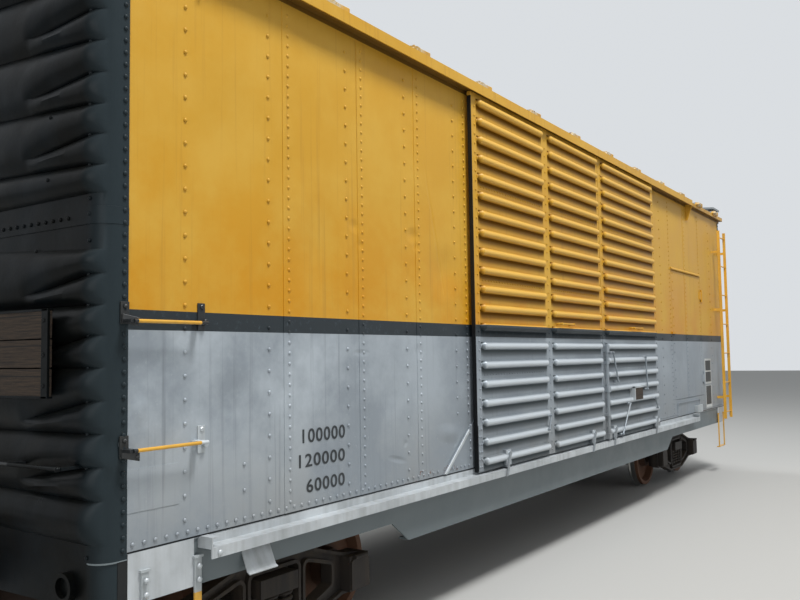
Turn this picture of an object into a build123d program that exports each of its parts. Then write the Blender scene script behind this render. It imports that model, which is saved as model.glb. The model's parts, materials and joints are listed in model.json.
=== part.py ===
from build123d import *
from math import cos, hypot, radians, sin
import os

# Railroad boxcar, 40 ft class, with pressed steel ends and staggered sliding doors.
# X runs along the car, from the end with the route board that faces the viewer (left, -X)
# to the other end (right, +X). The near side faces -Y. Z is up, with Z = 0 at the lowest
# point of the wheel flanges, so the rail head is one flange depth higher.
# Millimetres throughout. Stations are measured along the near side from its left corner.

# Body shell
side_length = 12310
side_half_width = 1450
wall = 80
sheet_bottom = 1080
wall_top = 4240
lap_flange = 50
lap_thickness = 4
corner_radius = 100
end_lap_height = 2736
end_bottom = 1080
end_inside = 20

# Roof
eave_proud = 60
eave_bottom = 4272
eave_top = 4330
roof_rise = 130
roof_gauge = 50
roof_panel = 1030
roof_seams = 12
seam_cap_width = 140
seam_cap_height = 34
pressing_width = 640
pressing_height = 16
pressing_corner = 60
pressing_from_ridge = 320
pressing_from_eave = 110

# Floor and underframe
floor_top = 1130
floor_thickness = 55
center_sill_width = 330
center_sill_bottom = 740
center_sill_web = 14
center_sill_flange = 60
side_sill_gauge = 14
side_sill_set_in = 12
side_sill_bottom = 831
deep_sill_bottom = 678
sill_chord = 75
cross_bearer_gauge = 14
end_sill_gauge = 12
hem_drop = 25
hem_gauge = 6

# Trucks and wheels
truck_centers = 9300
truck_wheelbase = 1676
flange_depth = 25
tread_radius = 419
wheel_back_to_back = 1353
rim_width = 140
flange_width = 30
axle_radius = 75
journal_radius = 70
journal_center = 990
journal_length = 210
journal_clearance = 0.5
box_half_width = 115
side_frame_thickness = 100
center_plate_radius = 178
center_plate_top = 700
bowl_depth = 30
plate_clearance = 0.3
pin_radius = 22
running_gap = 6

# Near side doorway and its two sliding doors, as stations from the left corner
wide_door_left = 3440
door_meeting = 6400
narrow_door_right = 8450
door_gap = 12
door_overlap = 60
door_bottom = 1052
door_top = 4262
doorway_top = 4200
door_set_off = 28
door_plate = 34
door_rib_depth = 40
door_rib_height = 70
door_rib_taper = 45
door_rib_end_depth = 7
door_rib_end_height = 34
door_ribs = 20
stile_width = 85
track_left = 465
track_right = 10330
track_reach = 100
track_top = 1033
track_lip = 58
track_gauge = 9
hood_reach = 112
hood_bottom = 4246
hood_top = 4330
hood_gauge = 8

# Access door cut into the near side
access_left = 9410
access_right = 11020
access_bottom = 1330
access_top = 3200
access_gap = 6
hinge_radius = 12
hinge_half = 60
fixed_barrel = 40
hinge_heights = (1600, 2900)

# Couplers
coupler_height = 901
striker_reach = 115
pulling_reach = 450
coupler_pin_back = 711
shank_width = 130
shank_height = 150

# Hand holds, ladders and steps
round_bar = 19
grab_proud = 80
ladder_proud = 140
ladder_width = 400
side_ladder_inset = 40
end_ladder_inset = 90
ladder_rungs = 7
lowest_rung = 1010
rung_spacing = 487
stile_bar = 12
stile_depth = 45

# Places worked out from the sizes above
side_half = side_length / 2
end_face = side_half + lap_flange + corner_radius
end_joint = side_half + lap_flange
inner_end = end_joint + end_inside
striker_face = end_face + striker_reach
pulling_face = end_face + pulling_reach
axle_height = flange_depth + tread_radius
truck_x = truck_centers / 2
wide_left_x = wide_door_left - side_half
meeting_x = door_meeting - side_half
narrow_right_x = narrow_door_right - side_half
opening_left = wide_left_x + door_overlap
opening_right = narrow_right_x - door_overlap
access_left_x = access_left - side_half
access_right_x = access_right - side_half
door_inner = -(side_half_width + door_set_off)
door_face = door_inner - door_plate
wall_inner = side_half_width - wall
roof_edge = side_half_width + eave_proud
ridge_top = eave_top + roof_rise
bowl_bottom = center_plate_top - bowl_depth
hinge_y = -(side_half_width + hinge_radius + 2)
side_rails = (side_half - side_ladder_inset - ladder_width, side_half - side_ladder_inset)
end_rails = (-side_half_width + end_ladder_inset, -side_half_width + end_ladder_inset + ladder_width)

os.makedirs("parts", exist_ok=True)


def block(x0, x1, y0, y1, z0, z1, mode=Mode.ADD):
    """A box between two corners, added to the part being built."""
    with Locations(((x0 + x1) / 2, (y0 + y1) / 2, (z0 + z1) / 2)):
        Box(x1 - x0, y1 - y0, z1 - z0, mode=mode)


def side_plate(points, y0, y1, mode=Mode.ADD):
    """A plate whose outline is given as (x, z) points, between y0 and y1."""
    with BuildSketch(Plane.XZ.offset(-y1)) as outline:
        Polygon(*points, align=None)
    extrude(outline.sketch, amount=y1 - y0, mode=mode)


def cross_plate(points, x0, x1, mode=Mode.ADD):
    """A plate whose outline is given as (y, z) points, between x0 and x1."""
    with BuildSketch(Plane.YZ.offset(x0)) as outline:
        Polygon(*points, align=None)
    extrude(outline.sketch, amount=x1 - x0, mode=mode)


def flat_plate(points, z0, z1, mode=Mode.ADD):
    """A plate whose outline is given as (x, y) points, between z0 and z1."""
    with BuildSketch(Plane.XY.offset(z0)) as outline:
        Polygon(*points, align=None)
    extrude(outline.sketch, amount=z1 - z0, mode=mode)


def rod(start, end, radius, mode=Mode.ADD):
    """A round bar between two points."""
    start_point = Vector(*start)
    along = Vector(*end) - start_point
    with BuildSketch(Plane(origin=start_point, z_dir=along)) as section:
        Circle(radius)
    extrude(section.sketch, amount=along.length, mode=mode)


def publish(piece, name):
    """Label a finished piece and write it as its own STEP file."""
    piece.part.label = name
    export_step(piece.part, f"parts/{name}.step")


def turned(piece):
    """The same piece at the opposite corner of the car, turned half way about Z."""
    with BuildPart() as other:
        add(piece.part.rotate(Axis.Z, 180))
    return other


# Side walls: each panel is as thick as the whole wall, sheet, posts and lining together.
# Columns: name, left x, right x, bottom z, top z
near_panels = [
    ("near_left_side", -end_joint, opening_left, sheet_bottom, wall_top),
    ("near_door_post_side", opening_right, access_left_x, sheet_bottom, wall_top),
    ("near_corner_side", access_right_x, end_joint, sheet_bottom, wall_top),
]
patch_length = 325
patch_bottom = 1276
patch_top = 1488
patch_gauge = 3
gusset_length = 520
gusset_height = 408
gusset_gauge = 12
hasp_z = 2290
hasp_reach = 60


def side_reinforcement():
    """The patch by the left corner and the gusset that stiffens the foot of the door post."""
    block(-side_half, -side_half + patch_length, -side_half_width - patch_gauge, -side_half_width,
          patch_bottom, patch_top)
    gusset_bottom = sheet_bottom + 6
    side_plate(
        [
            (opening_left - gusset_length, gusset_bottom),
            (opening_left, gusset_bottom + gusset_height),
            (opening_left, gusset_bottom),
        ],
        -side_half_width - gusset_gauge,
        -side_half_width,
    )


for panel_name, left_x, right_x, low_z, high_z in near_panels:
    with BuildPart() as panel:
        block(left_x, right_x, -side_half_width, -wall_inner, low_z, high_z)
        if right_x == opening_left:
            side_reinforcement()
        if right_x == access_left_x:
            block(right_x - hasp_reach, right_x - access_gap, -side_half_width - 22, -side_half_width,
                  hasp_z - 16, hasp_z + 16)
        if left_x == access_right_x:
            for hinge_z in hinge_heights:
                for way in (-1, 1):
                    start_z = hinge_z + way * (hinge_half + plate_clearance)
                    stop_z = hinge_z + way * (hinge_half + fixed_barrel)
                    rod((left_x, hinge_y, start_z), (left_x, hinge_y, stop_z), hinge_radius)
                    block(left_x, left_x + 60, hinge_y, -side_half_width, min(start_z, stop_z),
                          max(start_z, stop_z))
    publish(panel, panel_name)

# Above and below the access door, with a drip rail over it and a ledge under it.
drip_reach = 22
ledge_left = 9500 - side_half
ledge_right = 10680 - side_half
ledge_top = 1285
ledge_reach = 22
ledge_gauge = 8
with BuildPart() as access_surround:
    block(access_left_x, access_right_x, -side_half_width, -wall_inner, access_top, wall_top)
    block(access_left_x, access_right_x, -side_half_width, -wall_inner, sheet_bottom, access_bottom)
    cross_plate(
        [
            (-side_half_width, access_top + 42), (-side_half_width - drip_reach, access_top + 22),
            (-side_half_width - drip_reach, access_top + 8), (-side_half_width, access_top + 30),
        ],
        access_left_x - 25, access_right_x - 40,
    )
    block(ledge_left, ledge_right, -side_half_width - ledge_reach, -side_half_width,
          ledge_top - ledge_gauge, ledge_top)
    block(ledge_left, ledge_right, -side_half_width - ledge_gauge, -side_half_width,
          sheet_bottom + 20, ledge_top)
    for ledge_end in (ledge_left, ledge_right - ledge_gauge):
        cross_plate(
            [
                (-side_half_width, ledge_top), (-side_half_width - ledge_reach, ledge_top),
                (-side_half_width, sheet_bottom + 40),
            ],
            ledge_end, ledge_end + ledge_gauge,
        )
publish(access_surround, "near_access_surround")

with BuildPart() as far_long_side:
    block(-end_joint, -opening_right, wall_inner, side_half_width, sheet_bottom, wall_top)
publish(far_long_side, "far_left_side")

with BuildPart() as far_short_side:
    block(-end_joint, opening_left, -side_half_width, -wall_inner, sheet_bottom, wall_top)
    side_reinforcement()
publish(turned(far_short_side), "far_right_side")

# Side plates over the doorways, one on each side of the car.
with BuildPart() as door_headers:
    block(opening_left, opening_right, -side_half_width, -wall_inner, doorway_top, wall_top)
    block(-opening_right, -opening_left, wall_inner, side_half_width, doorway_top, wall_top)
publish(door_headers, "door_headers")

# Pressed steel ends: two panels lapped at mid height, with rounded corners that wrap on to
# the sides, long main ribs, and short dart ribs between them that point at the middle.
rib_pitch = 343
upper_first_rib = 4070
lower_first_rib = 2655
main_rib_height = 220
main_rib_bulge = 52
rib_end_inset = 235
rib_nose_inset = 270
rib_shoulder_inset = 360
rib_waist_inset = 590
rib_spread_inset = 820
dart_wide_height = 150
dart_bulge = 47
end_edge = 90
lap_band_height = 94
lap_band_gauge = 5
# How a main rib runs out toward the side. Columns: inset from the side, height, bulge
main_rib_run = [
    (rib_end_inset, 64, 6),
    (rib_nose_inset, 126, 37),
    (rib_shoulder_inset, 166, main_rib_bulge),
    (rib_waist_inset, 186, main_rib_bulge),
    (rib_spread_inset, main_rib_height, main_rib_bulge),
]
# How a dart grows from its point toward the side. Columns: inset from the side, height, bulge
dart_run = [
    (rib_spread_inset, 22, 4),
    (rib_waist_inset, 98, 35),
    (rib_shoulder_inset, dart_wide_height, dart_bulge),
    (rib_nose_inset, 112, 33),
    (rib_end_inset, 54, 6),
]


def rib_section(y, middle_z, height, bulge):
    """One arched section of a pressed rib, standing on the flat of the end."""
    with BuildSketch(Plane.XZ.offset(-y)) as section:
        with BuildLine():
            ThreePointArc(
                (end_face, middle_z - height / 2),
                (end_face + bulge, middle_z),
                (end_face, middle_z + height / 2),
            )
            Line((end_face, middle_z + height / 2), (end_face, middle_z - height / 2))
        make_face()
    return section.sketch


def pressed_end(low_z, high_z, rib_tops):
    """One pressed panel of the right end, with a rib below each height and a dart below each rib."""
    with BuildPart() as panel:
        with BuildSketch(Plane.XY.offset(low_z)) as plan:
            with BuildLine():
                face = Line((end_face, 0), (end_face, side_half_width + lap_thickness - corner_radius))
                corner = RadiusArc(face @ 1, (end_joint, side_half_width + lap_thickness), -corner_radius)
                Polyline(
                    corner @ 1,
                    (side_half, side_half_width + lap_thickness),
                    (side_half, side_half_width),
                    (end_joint, side_half_width),
                    (end_joint, wall_inner),
                    (inner_end, wall_inner),
                    (inner_end, 0),
                    (end_face, 0),
                )
            make_face()
            mirror(about=Plane.XZ)
        extrude(plan.sketch, amount=high_z - low_z)
        for rib_top in rib_tops:
            middle_z = rib_top - main_rib_height / 2
            outward = [rib_section(side_half_width - inset, middle_z, height, bulge)
                       for inset, height, bulge in reversed(main_rib_run)]
            inward = [rib_section(inset - side_half_width, middle_z, height, bulge)
                      for inset, height, bulge in main_rib_run]
            loft(inward + outward, ruled=True)
            dart_z = middle_z - rib_pitch / 2
            if dart_z - dart_wide_height / 2 < low_z + end_edge:
                continue
            for side in (-1, 1):
                loft([rib_section(side * (side_half_width - inset), dart_z, height, bulge)
                      for inset, height, bulge in dart_run], ruled=True)
    return panel


rib_crest_x = end_face + main_rib_bulge + plate_clearance
upper_rib_tops = [upper_first_rib - row * rib_pitch for row in range(4)]
lower_rib_tops = [lower_first_rib - row * rib_pitch for row in range(4)]
with BuildPart() as right_end_upper:
    add(pressed_end(end_lap_height, ridge_top, upper_rib_tops).part)
    block(end_face, end_face + lap_band_gauge, rib_end_inset - side_half_width,
          side_half_width - rib_end_inset, end_lap_height, end_lap_height + lap_band_height)
    cross_plate(
        [
            (0, ridge_top - roof_gauge), (wall_inner, wall_top), (side_half_width + corner_radius, wall_top),
            (side_half_width + corner_radius, ridge_top), (-side_half_width - corner_radius, ridge_top),
            (-side_half_width - corner_radius, wall_top), (-wall_inner, wall_top),
        ],
        side_half, end_face + main_rib_bulge, mode=Mode.SUBTRACT,
    )


def end_corner(inner_y, inset, mode=Mode.ADD):
    """Plan of one corner of the end, filled out to its rounded face, which is set in by inset."""
    outer_x = end_face - inset
    outer_y = side_half_width + lap_thickness - inset
    turn = corner_radius - inset
    with BuildLine() as outline:
        face = Line((outer_x, inner_y), (outer_x, outer_y - turn))
        corner = RadiusArc(face @ 1, (end_joint, outer_y), -turn)
        Polyline(corner @ 1, (end_joint, inner_y), (outer_x, inner_y))
    make_face(outline.edges(), mode=mode)


half_sill = center_sill_width / 2
with BuildPart() as right_end_lower:
    add(pressed_end(end_bottom, end_lap_height, lower_rib_tops).part)
    with BuildSketch(Plane.XY.offset(end_bottom - hem_drop)) as hem:
        end_corner(half_sill + hem_gauge, 0)
        end_corner(half_sill, hem_gauge, mode=Mode.SUBTRACT)
        mirror(about=Plane.XZ)
    extrude(hem.sketch, amount=hem_drop)
publish(right_end_upper, "right_end_upper")
publish(right_end_lower, "right_end_lower")
publish(turned(right_end_upper), "left_end_upper")
publish(turned(right_end_lower), "left_end_lower")

# Roof: two slopes that meet at the ridge, with a raised seam cap over each panel joint and a
# raised pressing in each panel between two caps.
seam_places = [(seam - (roof_seams - 1) / 2) * roof_panel for seam in range(roof_seams)]
with BuildPart() as far_roof:
    with BuildSketch(Plane.YZ.offset(-end_face)) as slope:
        Polygon(
            (0, ridge_top),
            (roof_edge, eave_top),
            (roof_edge, eave_bottom),
            (side_half_width, eave_bottom),
            (side_half_width, wall_top),
            (wall_inner, wall_top),
            (0, ridge_top - roof_gauge),
            align=None,
        )
    extrude(slope.sketch, amount=2 * end_face)
    down_slope = Vector(0, roof_edge, eave_top - ridge_top)
    cap_length = hypot(side_half_width + hood_reach, eave_top - ridge_top)
    for seam_x in seam_places:
        with BuildSketch(Plane(origin=(seam_x, 0, ridge_top), x_dir=(1, 0, 0), z_dir=down_slope)) as cap:
            with BuildLine():
                ThreePointArc((-seam_cap_width / 2, 0), (0, -seam_cap_height), (seam_cap_width / 2, 0))
                Polyline(
                    (seam_cap_width / 2, 0), (seam_cap_width / 2, roof_gauge / 2),
                    (-seam_cap_width / 2, roof_gauge / 2), (-seam_cap_width / 2, 0),
                )
            make_face()
        extrude(cap.sketch, amount=cap_length)
    slope_length = hypot(roof_edge, roof_rise)
    slope_face = Plane(origin=(0, 0, ridge_top), x_dir=(1, 0, 0), z_dir=(0, roof_rise, roof_edge))
    with BuildSketch(slope_face) as pressings:
        for left_seam in seam_places[:-1]:
            with Locations((left_seam + roof_panel / 2,
                            (pressing_from_ridge + slope_length - pressing_from_eave) / 2)):
                Rectangle(pressing_width, slope_length - pressing_from_ridge - pressing_from_eave)
        fillet(pressings.vertices(), pressing_corner)
    extrude(pressings.sketch, amount=pressing_height, taper=45)
    block(-end_face, end_face, -roof_edge, 0, eave_bottom, ridge_top + 2 * seam_cap_height,
          mode=Mode.SUBTRACT)
    block(-end_face, end_face, roof_edge, roof_edge + hood_reach, eave_bottom, eave_top,
          mode=Mode.SUBTRACT)
publish(far_roof, "far_roof")
publish(turned(far_roof), "near_roof")

# Floor deck, with a threshold that reaches out through each doorway.
with BuildPart() as floor:
    block(-inner_end, inner_end, -wall_inner, wall_inner, floor_top - floor_thickness, floor_top)
    block(opening_left, opening_right, -side_half_width, -wall_inner, sheet_bottom, floor_top)
    block(-opening_right, -opening_left, wall_inner, side_half_width, sheet_bottom, floor_top)
publish(floor, "floor")

# Center sill: an open box of two webs under a cover plate, with outturned bottom flanges.
deck_bottom = floor_top - floor_thickness
with BuildPart() as center_sill:
    for side in (-1, 1):
        web_out = side * half_sill
        web_in = side * (half_sill - center_sill_web)
        flange_out = side * (half_sill + center_sill_flange)
        block(-striker_face, striker_face, min(web_out, web_in), max(web_out, web_in),
              center_sill_bottom, deck_bottom)
        block(-striker_face, striker_face, min(web_out, flange_out), max(web_out, flange_out),
              center_sill_bottom, center_sill_bottom + center_sill_web)
    block(-striker_face, striker_face, -half_sill, half_sill, deck_bottom - center_sill_web, deck_bottom)
publish(center_sill, "center_sill")

# Side sills: a web plate that deepens under the doorway, with a bottom chord angle.
deep_left = 2288 - side_half
deep_left_low = 2500 - side_half
deep_right_low = 8987 - side_half
deep_right = 9245 - side_half
corner_plate_length = 430
flap_left = 790
flap_right = 1020
# Section of the loose flap. Columns: how far it stands out of the web, height over the sill bottom
flap_section = [(0, 116), (50, 0), (68, -12), (64, -18), (44, -4), (0, 100)]
with BuildPart() as near_side_sill:
    web_outer = -(side_half_width - side_sill_set_in)
    web_inner = web_outer + side_sill_gauge
    side_plate(
        [
            (-end_joint, sheet_bottom),
            (-end_joint, side_sill_bottom),
            (deep_left, side_sill_bottom),
            (deep_left_low, deep_sill_bottom),
            (deep_right_low, deep_sill_bottom),
            (deep_right, side_sill_bottom),
            (end_joint, side_sill_bottom),
            (end_joint, sheet_bottom),
        ],
        web_outer,
        web_inner,
    )
    block(-end_joint, end_joint, web_outer, -wall_inner, sheet_bottom - side_sill_gauge, sheet_bottom)
    block(deep_left_low, deep_right_low, web_outer, web_inner + sill_chord,
          deep_sill_bottom, deep_sill_bottom + side_sill_gauge)
    for sill_end in (-1, 1):
        plate_in = sill_end * (end_joint - corner_plate_length - lap_flange)
        plate_out = sill_end * end_joint
        block(min(plate_in, plate_out), max(plate_in, plate_out), -side_half_width, web_outer,
              side_sill_bottom, sheet_bottom)
    cross_plate([(web_outer - out, side_sill_bottom + up) for out, up in flap_section],
                flap_left - side_half, flap_right - side_half)
publish(near_side_sill, "near_side_sill")
publish(turned(near_side_sill), "far_side_sill")

# End sills close the underframe below the pressed ends. Each follows the rounded corners inside
# the hem, with a bottom flange and a cast pocket for a pushing pole at each side.
sill_inset = hem_gauge + plate_clearance
pole_pocket_y = side_half_width - 250
pole_pocket_z = 930
pole_pocket_radius = 70
pipe_y = 260
pipe_z = 840
pipe_radius = 21
pipe_room = 0.5
with BuildPart() as end_sills:
    with BuildSketch(Plane.XY.offset(side_sill_bottom)) as flange_plan:
        end_corner(half_sill, sill_inset)
        mirror(about=Plane.XZ)
    extrude(flange_plan.sketch, amount=end_sill_gauge)
    with BuildSketch(Plane.XY.offset(side_sill_bottom)) as web_plan:
        end_corner(half_sill, sill_inset)
        end_corner(half_sill, sill_inset + end_sill_gauge, mode=Mode.SUBTRACT)
        mirror(about=Plane.XZ)
    extrude(web_plan.sketch, amount=end_bottom - side_sill_bottom)
    for pocket_y in (-pole_pocket_y, pole_pocket_y):
        pocket_face = end_face + 32
        rod((end_face - sill_inset, pocket_y, pole_pocket_z), (pocket_face, pocket_y, pole_pocket_z),
            pole_pocket_radius)
        rod((end_face + 4, pocket_y, pole_pocket_z), (pocket_face, pocket_y, pole_pocket_z),
            pole_pocket_radius - 20, mode=Mode.SUBTRACT)
    add(end_sills.part.rotate(Axis.Z, 180))
    rod((-striker_face, pipe_y, pipe_z), (striker_face, pipe_y, pipe_z), pipe_radius + pipe_room,
        mode=Mode.SUBTRACT)
publish(end_sills, "end_sills")

# Body bolsters and cross bearers, from the center sill out to each side sill. Each bolster's
# cover plate runs below the center sill and carries the plate that turns in the truck bowl.
bolster_cover = 16
bolster_cover_reach = 140
bolster_width = 420
bearer_stations = [-3100, -1900, -700, 700, 1900, 3100]
stringer_places = (400, 960)
stringer_depth = 76
stringer_flange = 60
stringer_gauge = 8
stringer_room = 1
sill_inner = side_half_width - side_sill_set_in - side_sill_gauge
bearer_top = deck_bottom
with BuildPart() as bolsters:
    for truck_side in (-1, 1):
        for half in (-1, 1):
            cross_plate(
                [
                    (half * half_sill, bearer_top),
                    (half * half_sill, center_sill_bottom + center_sill_web),
                    (half * (half_sill + center_sill_flange), center_sill_bottom + center_sill_web),
                    (half * (half_sill + center_sill_flange), center_sill_bottom),
                    (half * (half_sill + bolster_cover_reach), center_sill_bottom),
                    (half * sill_inner, side_sill_bottom + 60),
                    (half * sill_inner, sheet_bottom - side_sill_gauge),
                    (half * wall_inner, sheet_bottom - side_sill_gauge),
                    (half * wall_inner, bearer_top),
                ],
                truck_side * truck_x - bolster_width / 2,
                truck_side * truck_x + bolster_width / 2,
            )
        block(truck_side * truck_x - bolster_width / 2, truck_side * truck_x + bolster_width / 2,
              -half_sill - bolster_cover_reach, half_sill + bolster_cover_reach,
              center_sill_bottom - bolster_cover, center_sill_bottom)
        with BuildSketch(Plane.XY.offset(bowl_bottom + plate_clearance)) as disc:
            with Locations((truck_side * truck_x, 0)):
                Circle(center_plate_radius - running_gap)
        extrude(disc.sketch, amount=center_sill_bottom - bolster_cover - bowl_bottom - plate_clearance)
    rod((-end_joint, pipe_y, pipe_z), (end_joint, pipe_y, pipe_z), pipe_radius + pipe_room,
        mode=Mode.SUBTRACT)
publish(bolsters, "body_bolsters")

with BuildPart() as cross_bearers:
    for bearer_x in bearer_stations:
        for half in (-1, 1):
            cross_plate(
                [
                    (half * half_sill, bearer_top),
                    (half * half_sill, center_sill_bottom + 20),
                    (half * sill_inner, side_sill_bottom + 90),
                    (half * sill_inner, sheet_bottom - side_sill_gauge),
                    (half * wall_inner, sheet_bottom - side_sill_gauge),
                    (half * wall_inner, bearer_top),
                ],
                bearer_x - cross_bearer_gauge / 2,
                bearer_x + cross_bearer_gauge / 2,
            )
    rod((-end_joint, pipe_y, pipe_z), (end_joint, pipe_y, pipe_z), pipe_radius + pipe_room,
        mode=Mode.SUBTRACT)
    for stringer in stringer_places:
        for stringer_y in (-stringer, stringer):
            slot_half = stringer_flange + stringer_room
            block(-end_joint, end_joint, stringer_y - slot_half, stringer_y + slot_half,
                  deck_bottom - stringer_depth - stringer_room, deck_bottom, mode=Mode.SUBTRACT)
publish(cross_bearers, "cross_bearers")

# Floor stringers: Z bars under the deck. They pass through notches in the cross bearers and stop
# at the bolsters and at the end sills.
bolster_side = truck_x - bolster_width / 2
end_run_start = truck_x + bolster_width / 2
end_run_stop = end_face - sill_inset - end_sill_gauge
with BuildPart() as floor_stringers:
    for stringer in stringer_places:
        for way in (-1, 1):
            web_y = way * stringer
            foot_z = deck_bottom - stringer_depth
            z_bar = [
                (web_y - way * stringer_gauge, deck_bottom),
                (web_y + way * stringer_flange, deck_bottom),
                (web_y + way * stringer_flange, deck_bottom - stringer_gauge),
                (web_y, deck_bottom - stringer_gauge),
                (web_y, foot_z),
                (web_y - way * stringer_flange, foot_z),
                (web_y - way * stringer_flange, foot_z + stringer_gauge),
                (web_y - way * stringer_gauge, foot_z + stringer_gauge),
            ]
            for run_start, run_stop in ((-end_run_stop, -end_run_start), (-bolster_side, bolster_side),
                                        (end_run_start, end_run_stop)):
                cross_plate(z_bar, run_start, run_stop)
publish(floor_stringers, "floor_stringers")

# Door tracks below and hoods above the doors, one pair on each side.
stop_length = 56
stop_height = 52
stop_gauge = 8
with BuildPart() as door_tracks:
    lip_outer = -(side_half_width + track_reach)
    block(track_left - side_half, track_right - side_half, -side_half_width - track_gauge,
          -side_half_width + side_sill_set_in, track_top, sheet_bottom - 2)
    block(track_left - side_half, track_right - side_half, lip_outer,
          -side_half_width + side_sill_set_in, track_top - track_gauge, track_top)
    block(track_left - side_half, track_right - side_half, lip_outer, lip_outer + track_gauge,
          track_top - track_lip, track_top)
    for stop_left, leg_left in ((track_left, track_left),
                                (track_right - stop_length, track_right - stop_gauge)):
        block(stop_left - side_half, stop_left + stop_length - side_half, lip_outer,
              -side_half_width - track_gauge, track_top + stop_height - stop_gauge, track_top + stop_height)
        block(leg_left - side_half, leg_left + stop_gauge - side_half, lip_outer,
              -side_half_width - track_gauge, track_top, track_top + stop_height)
    add(door_tracks.part.rotate(Axis.Z, 180))
publish(door_tracks, "door_tracks")

bracket_drop = 216
bracket_nose = 60
bracket_lean = 30
bracket_room = 0.5
with BuildPart() as door_hoods:
    hood_outer = -(side_half_width + hood_reach)
    block(track_left - side_half, track_right - side_half, hood_outer, hood_outer + hood_gauge,
          hood_bottom, hood_top)
    block(track_left - side_half, track_right - side_half, hood_outer, -roof_edge,
          hood_top - hood_gauge, hood_top)
    for bracket_left in (track_left, track_right - hood_gauge):
        cross_plate(
            [
                (-side_half_width, eave_bottom - bracket_room),
                (hood_outer, eave_bottom - bracket_room),
                (hood_outer, hood_bottom),
                (hood_outer + bracket_lean, hood_bottom - bracket_nose),
                (-side_half_width - bracket_lean, hood_bottom - bracket_drop),
                (-side_half_width, hood_bottom - bracket_drop),
            ],
            bracket_left - side_half, bracket_left + hood_gauge - side_half,
        )
    add(door_hoods.part.rotate(Axis.Z, 180))
publish(door_hoods, "door_hoods")


crest_y = door_face - door_rib_depth
handle_y = crest_y - 18
handle_radius = 9
roller_radius = 34
roller_z = track_top + plate_clearance + roller_radius
strap_y = -(side_half_width + track_reach + 8)
strap_gauge = 8


def ridge_section(x, height, depth):
    """One arched section of a door ridge about Z = 0, standing on the door's face."""
    with BuildSketch(Plane.YZ.offset(x)) as section:
        with BuildLine():
            ThreePointArc((door_face, -height / 2), (door_face - depth, 0), (door_face, height / 2))
            Line((door_face, height / 2), (door_face, -height / 2))
        make_face()
    return section.sketch


def ridge(run):
    """One pressed ridge from X = 0 to X = run, which dies into the stile at both ends."""
    with BuildPart() as pressing:
        loft(
            [
                ridge_section(0, door_rib_end_height, door_rib_end_depth),
                ridge_section(door_rib_taper, door_rib_height, door_rib_depth),
                ridge_section(run - door_rib_taper, door_rib_height, door_rib_depth),
                ridge_section(run, door_rib_end_height, door_rib_end_depth),
            ],
            ruled=True,
        )
    return pressing


def roller_bracket(roller_x):
    """A roller on the track in its housing, with the slanted strap that hangs past the track."""
    rod((roller_x, door_inner + 6, roller_z), (roller_x, door_face - 30, roller_z), roller_radius)
    block(roller_x - 45, roller_x + 45, door_face - 34, door_face, track_top + 30, track_top + 160)
    rod((roller_x + 8, door_face, roller_z + 95), (roller_x + 8, strap_y - strap_gauge, roller_z + 95), 17)
    side_plate(
        [
            (roller_x - 4, roller_z + 112), (roller_x + 26, roller_z + 112),
            (roller_x - 52, roller_z - 92), (roller_x - 82, roller_z - 92),
        ],
        strap_y - strap_gauge, strap_y,
    )


def bail_handle(start, end):
    """A round handle between two (x, z) points, held off the ridges by a foot at each."""
    rod((start[0], handle_y, start[1]), (end[0], handle_y, end[1]), handle_radius)
    for foot_x, foot_z in (start, end):
        rod((foot_x, handle_y - handle_radius - 3, foot_z), (foot_x, door_face, foot_z), handle_radius + 3)


def sliding_door(left_x, right_x, columns, rollers, handles):
    """A near side door of pressed, ridged columns between stiles, with its rollers and handles."""
    pitch_z = (door_top - door_bottom) / door_ribs
    column_width = (right_x - left_x) / columns
    run = column_width - (stile_width if columns == 1 else stile_width * 0.75) * 2
    column_ridge = ridge(run)
    with BuildPart() as door:
        block(left_x, right_x, door_face, door_inner, door_bottom, door_top)
        for column in range(columns):
            for row in range(door_ribs):
                with Locations((left_x + stile_width + column * column_width, 0,
                                door_bottom + (row + 0.5) * pitch_z)):
                    add(column_ridge.part)
        for roller in rollers:
            roller_bracket(roller - side_half)
        for start, end in handles:
            bail_handle((start[0] - side_half, start[1]), (end[0] - side_half, end[1]))
    return door


# Handles are given as (station, z) at their two ends.
wide_handles = [((5130, 2316), (5440, 2316)), ((4804, 1430), (4762, 1301))]
narrow_handles = [
    ((7350, 2316), (7660, 2316)),
    ((6581, 2023), (6724, 1690)),
    ((7754, 1964), (7790, 1562)),
    ((7115, 1416), (6830, 1080)),
    ((8108, 1433), (8190, 1305)),
]
wide_door = sliding_door(wide_left_x, meeting_x - door_gap / 2, 2, [3935, 5977], wide_handles)
narrow_panel = sliding_door(meeting_x + door_gap / 2, narrow_right_x, 1, [6640, 8200], narrow_handles)

# The lock on the narrow door: two upright bars held by clamps on its left stile.
lock_x = meeting_x + door_gap / 2 + stile_width / 2
lock_bar_width = 18
lock_bar_gap = 10
lock_bar_proud = 26
lock_bar_depth = 14
lock_top = 2114
# Columns: middle z, height, width, how far the clamp stands out
lock_clamps = [
    (2060, 70, 78, 46),
    (1912, 34, 70, 44),
    (1608, 60, 78, 50),
    (1330, 34, 70, 44),
    (1088, 60, 78, 50),
]
with BuildPart() as narrow_door:
    add(narrow_panel.part)
    for way in (-1, 1):
        bar_x = lock_x + way * (lock_bar_gap + lock_bar_width) / 2
        block(bar_x - lock_bar_width / 2, bar_x + lock_bar_width / 2,
              door_face - lock_bar_proud - lock_bar_depth, door_face - lock_bar_proud, door_bottom, lock_top)
    for clamp_z, clamp_height, clamp_width, clamp_out in lock_clamps:
        block(lock_x - clamp_width / 2, lock_x + clamp_width / 2, door_face - clamp_out, door_face,
              clamp_z - clamp_height / 2, clamp_z + clamp_height / 2)
publish(wide_door, "near_wide_door")
publish(narrow_door, "near_narrow_door")
publish(turned(wide_door), "far_wide_door")
publish(turned(narrow_door), "far_narrow_door")

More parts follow.
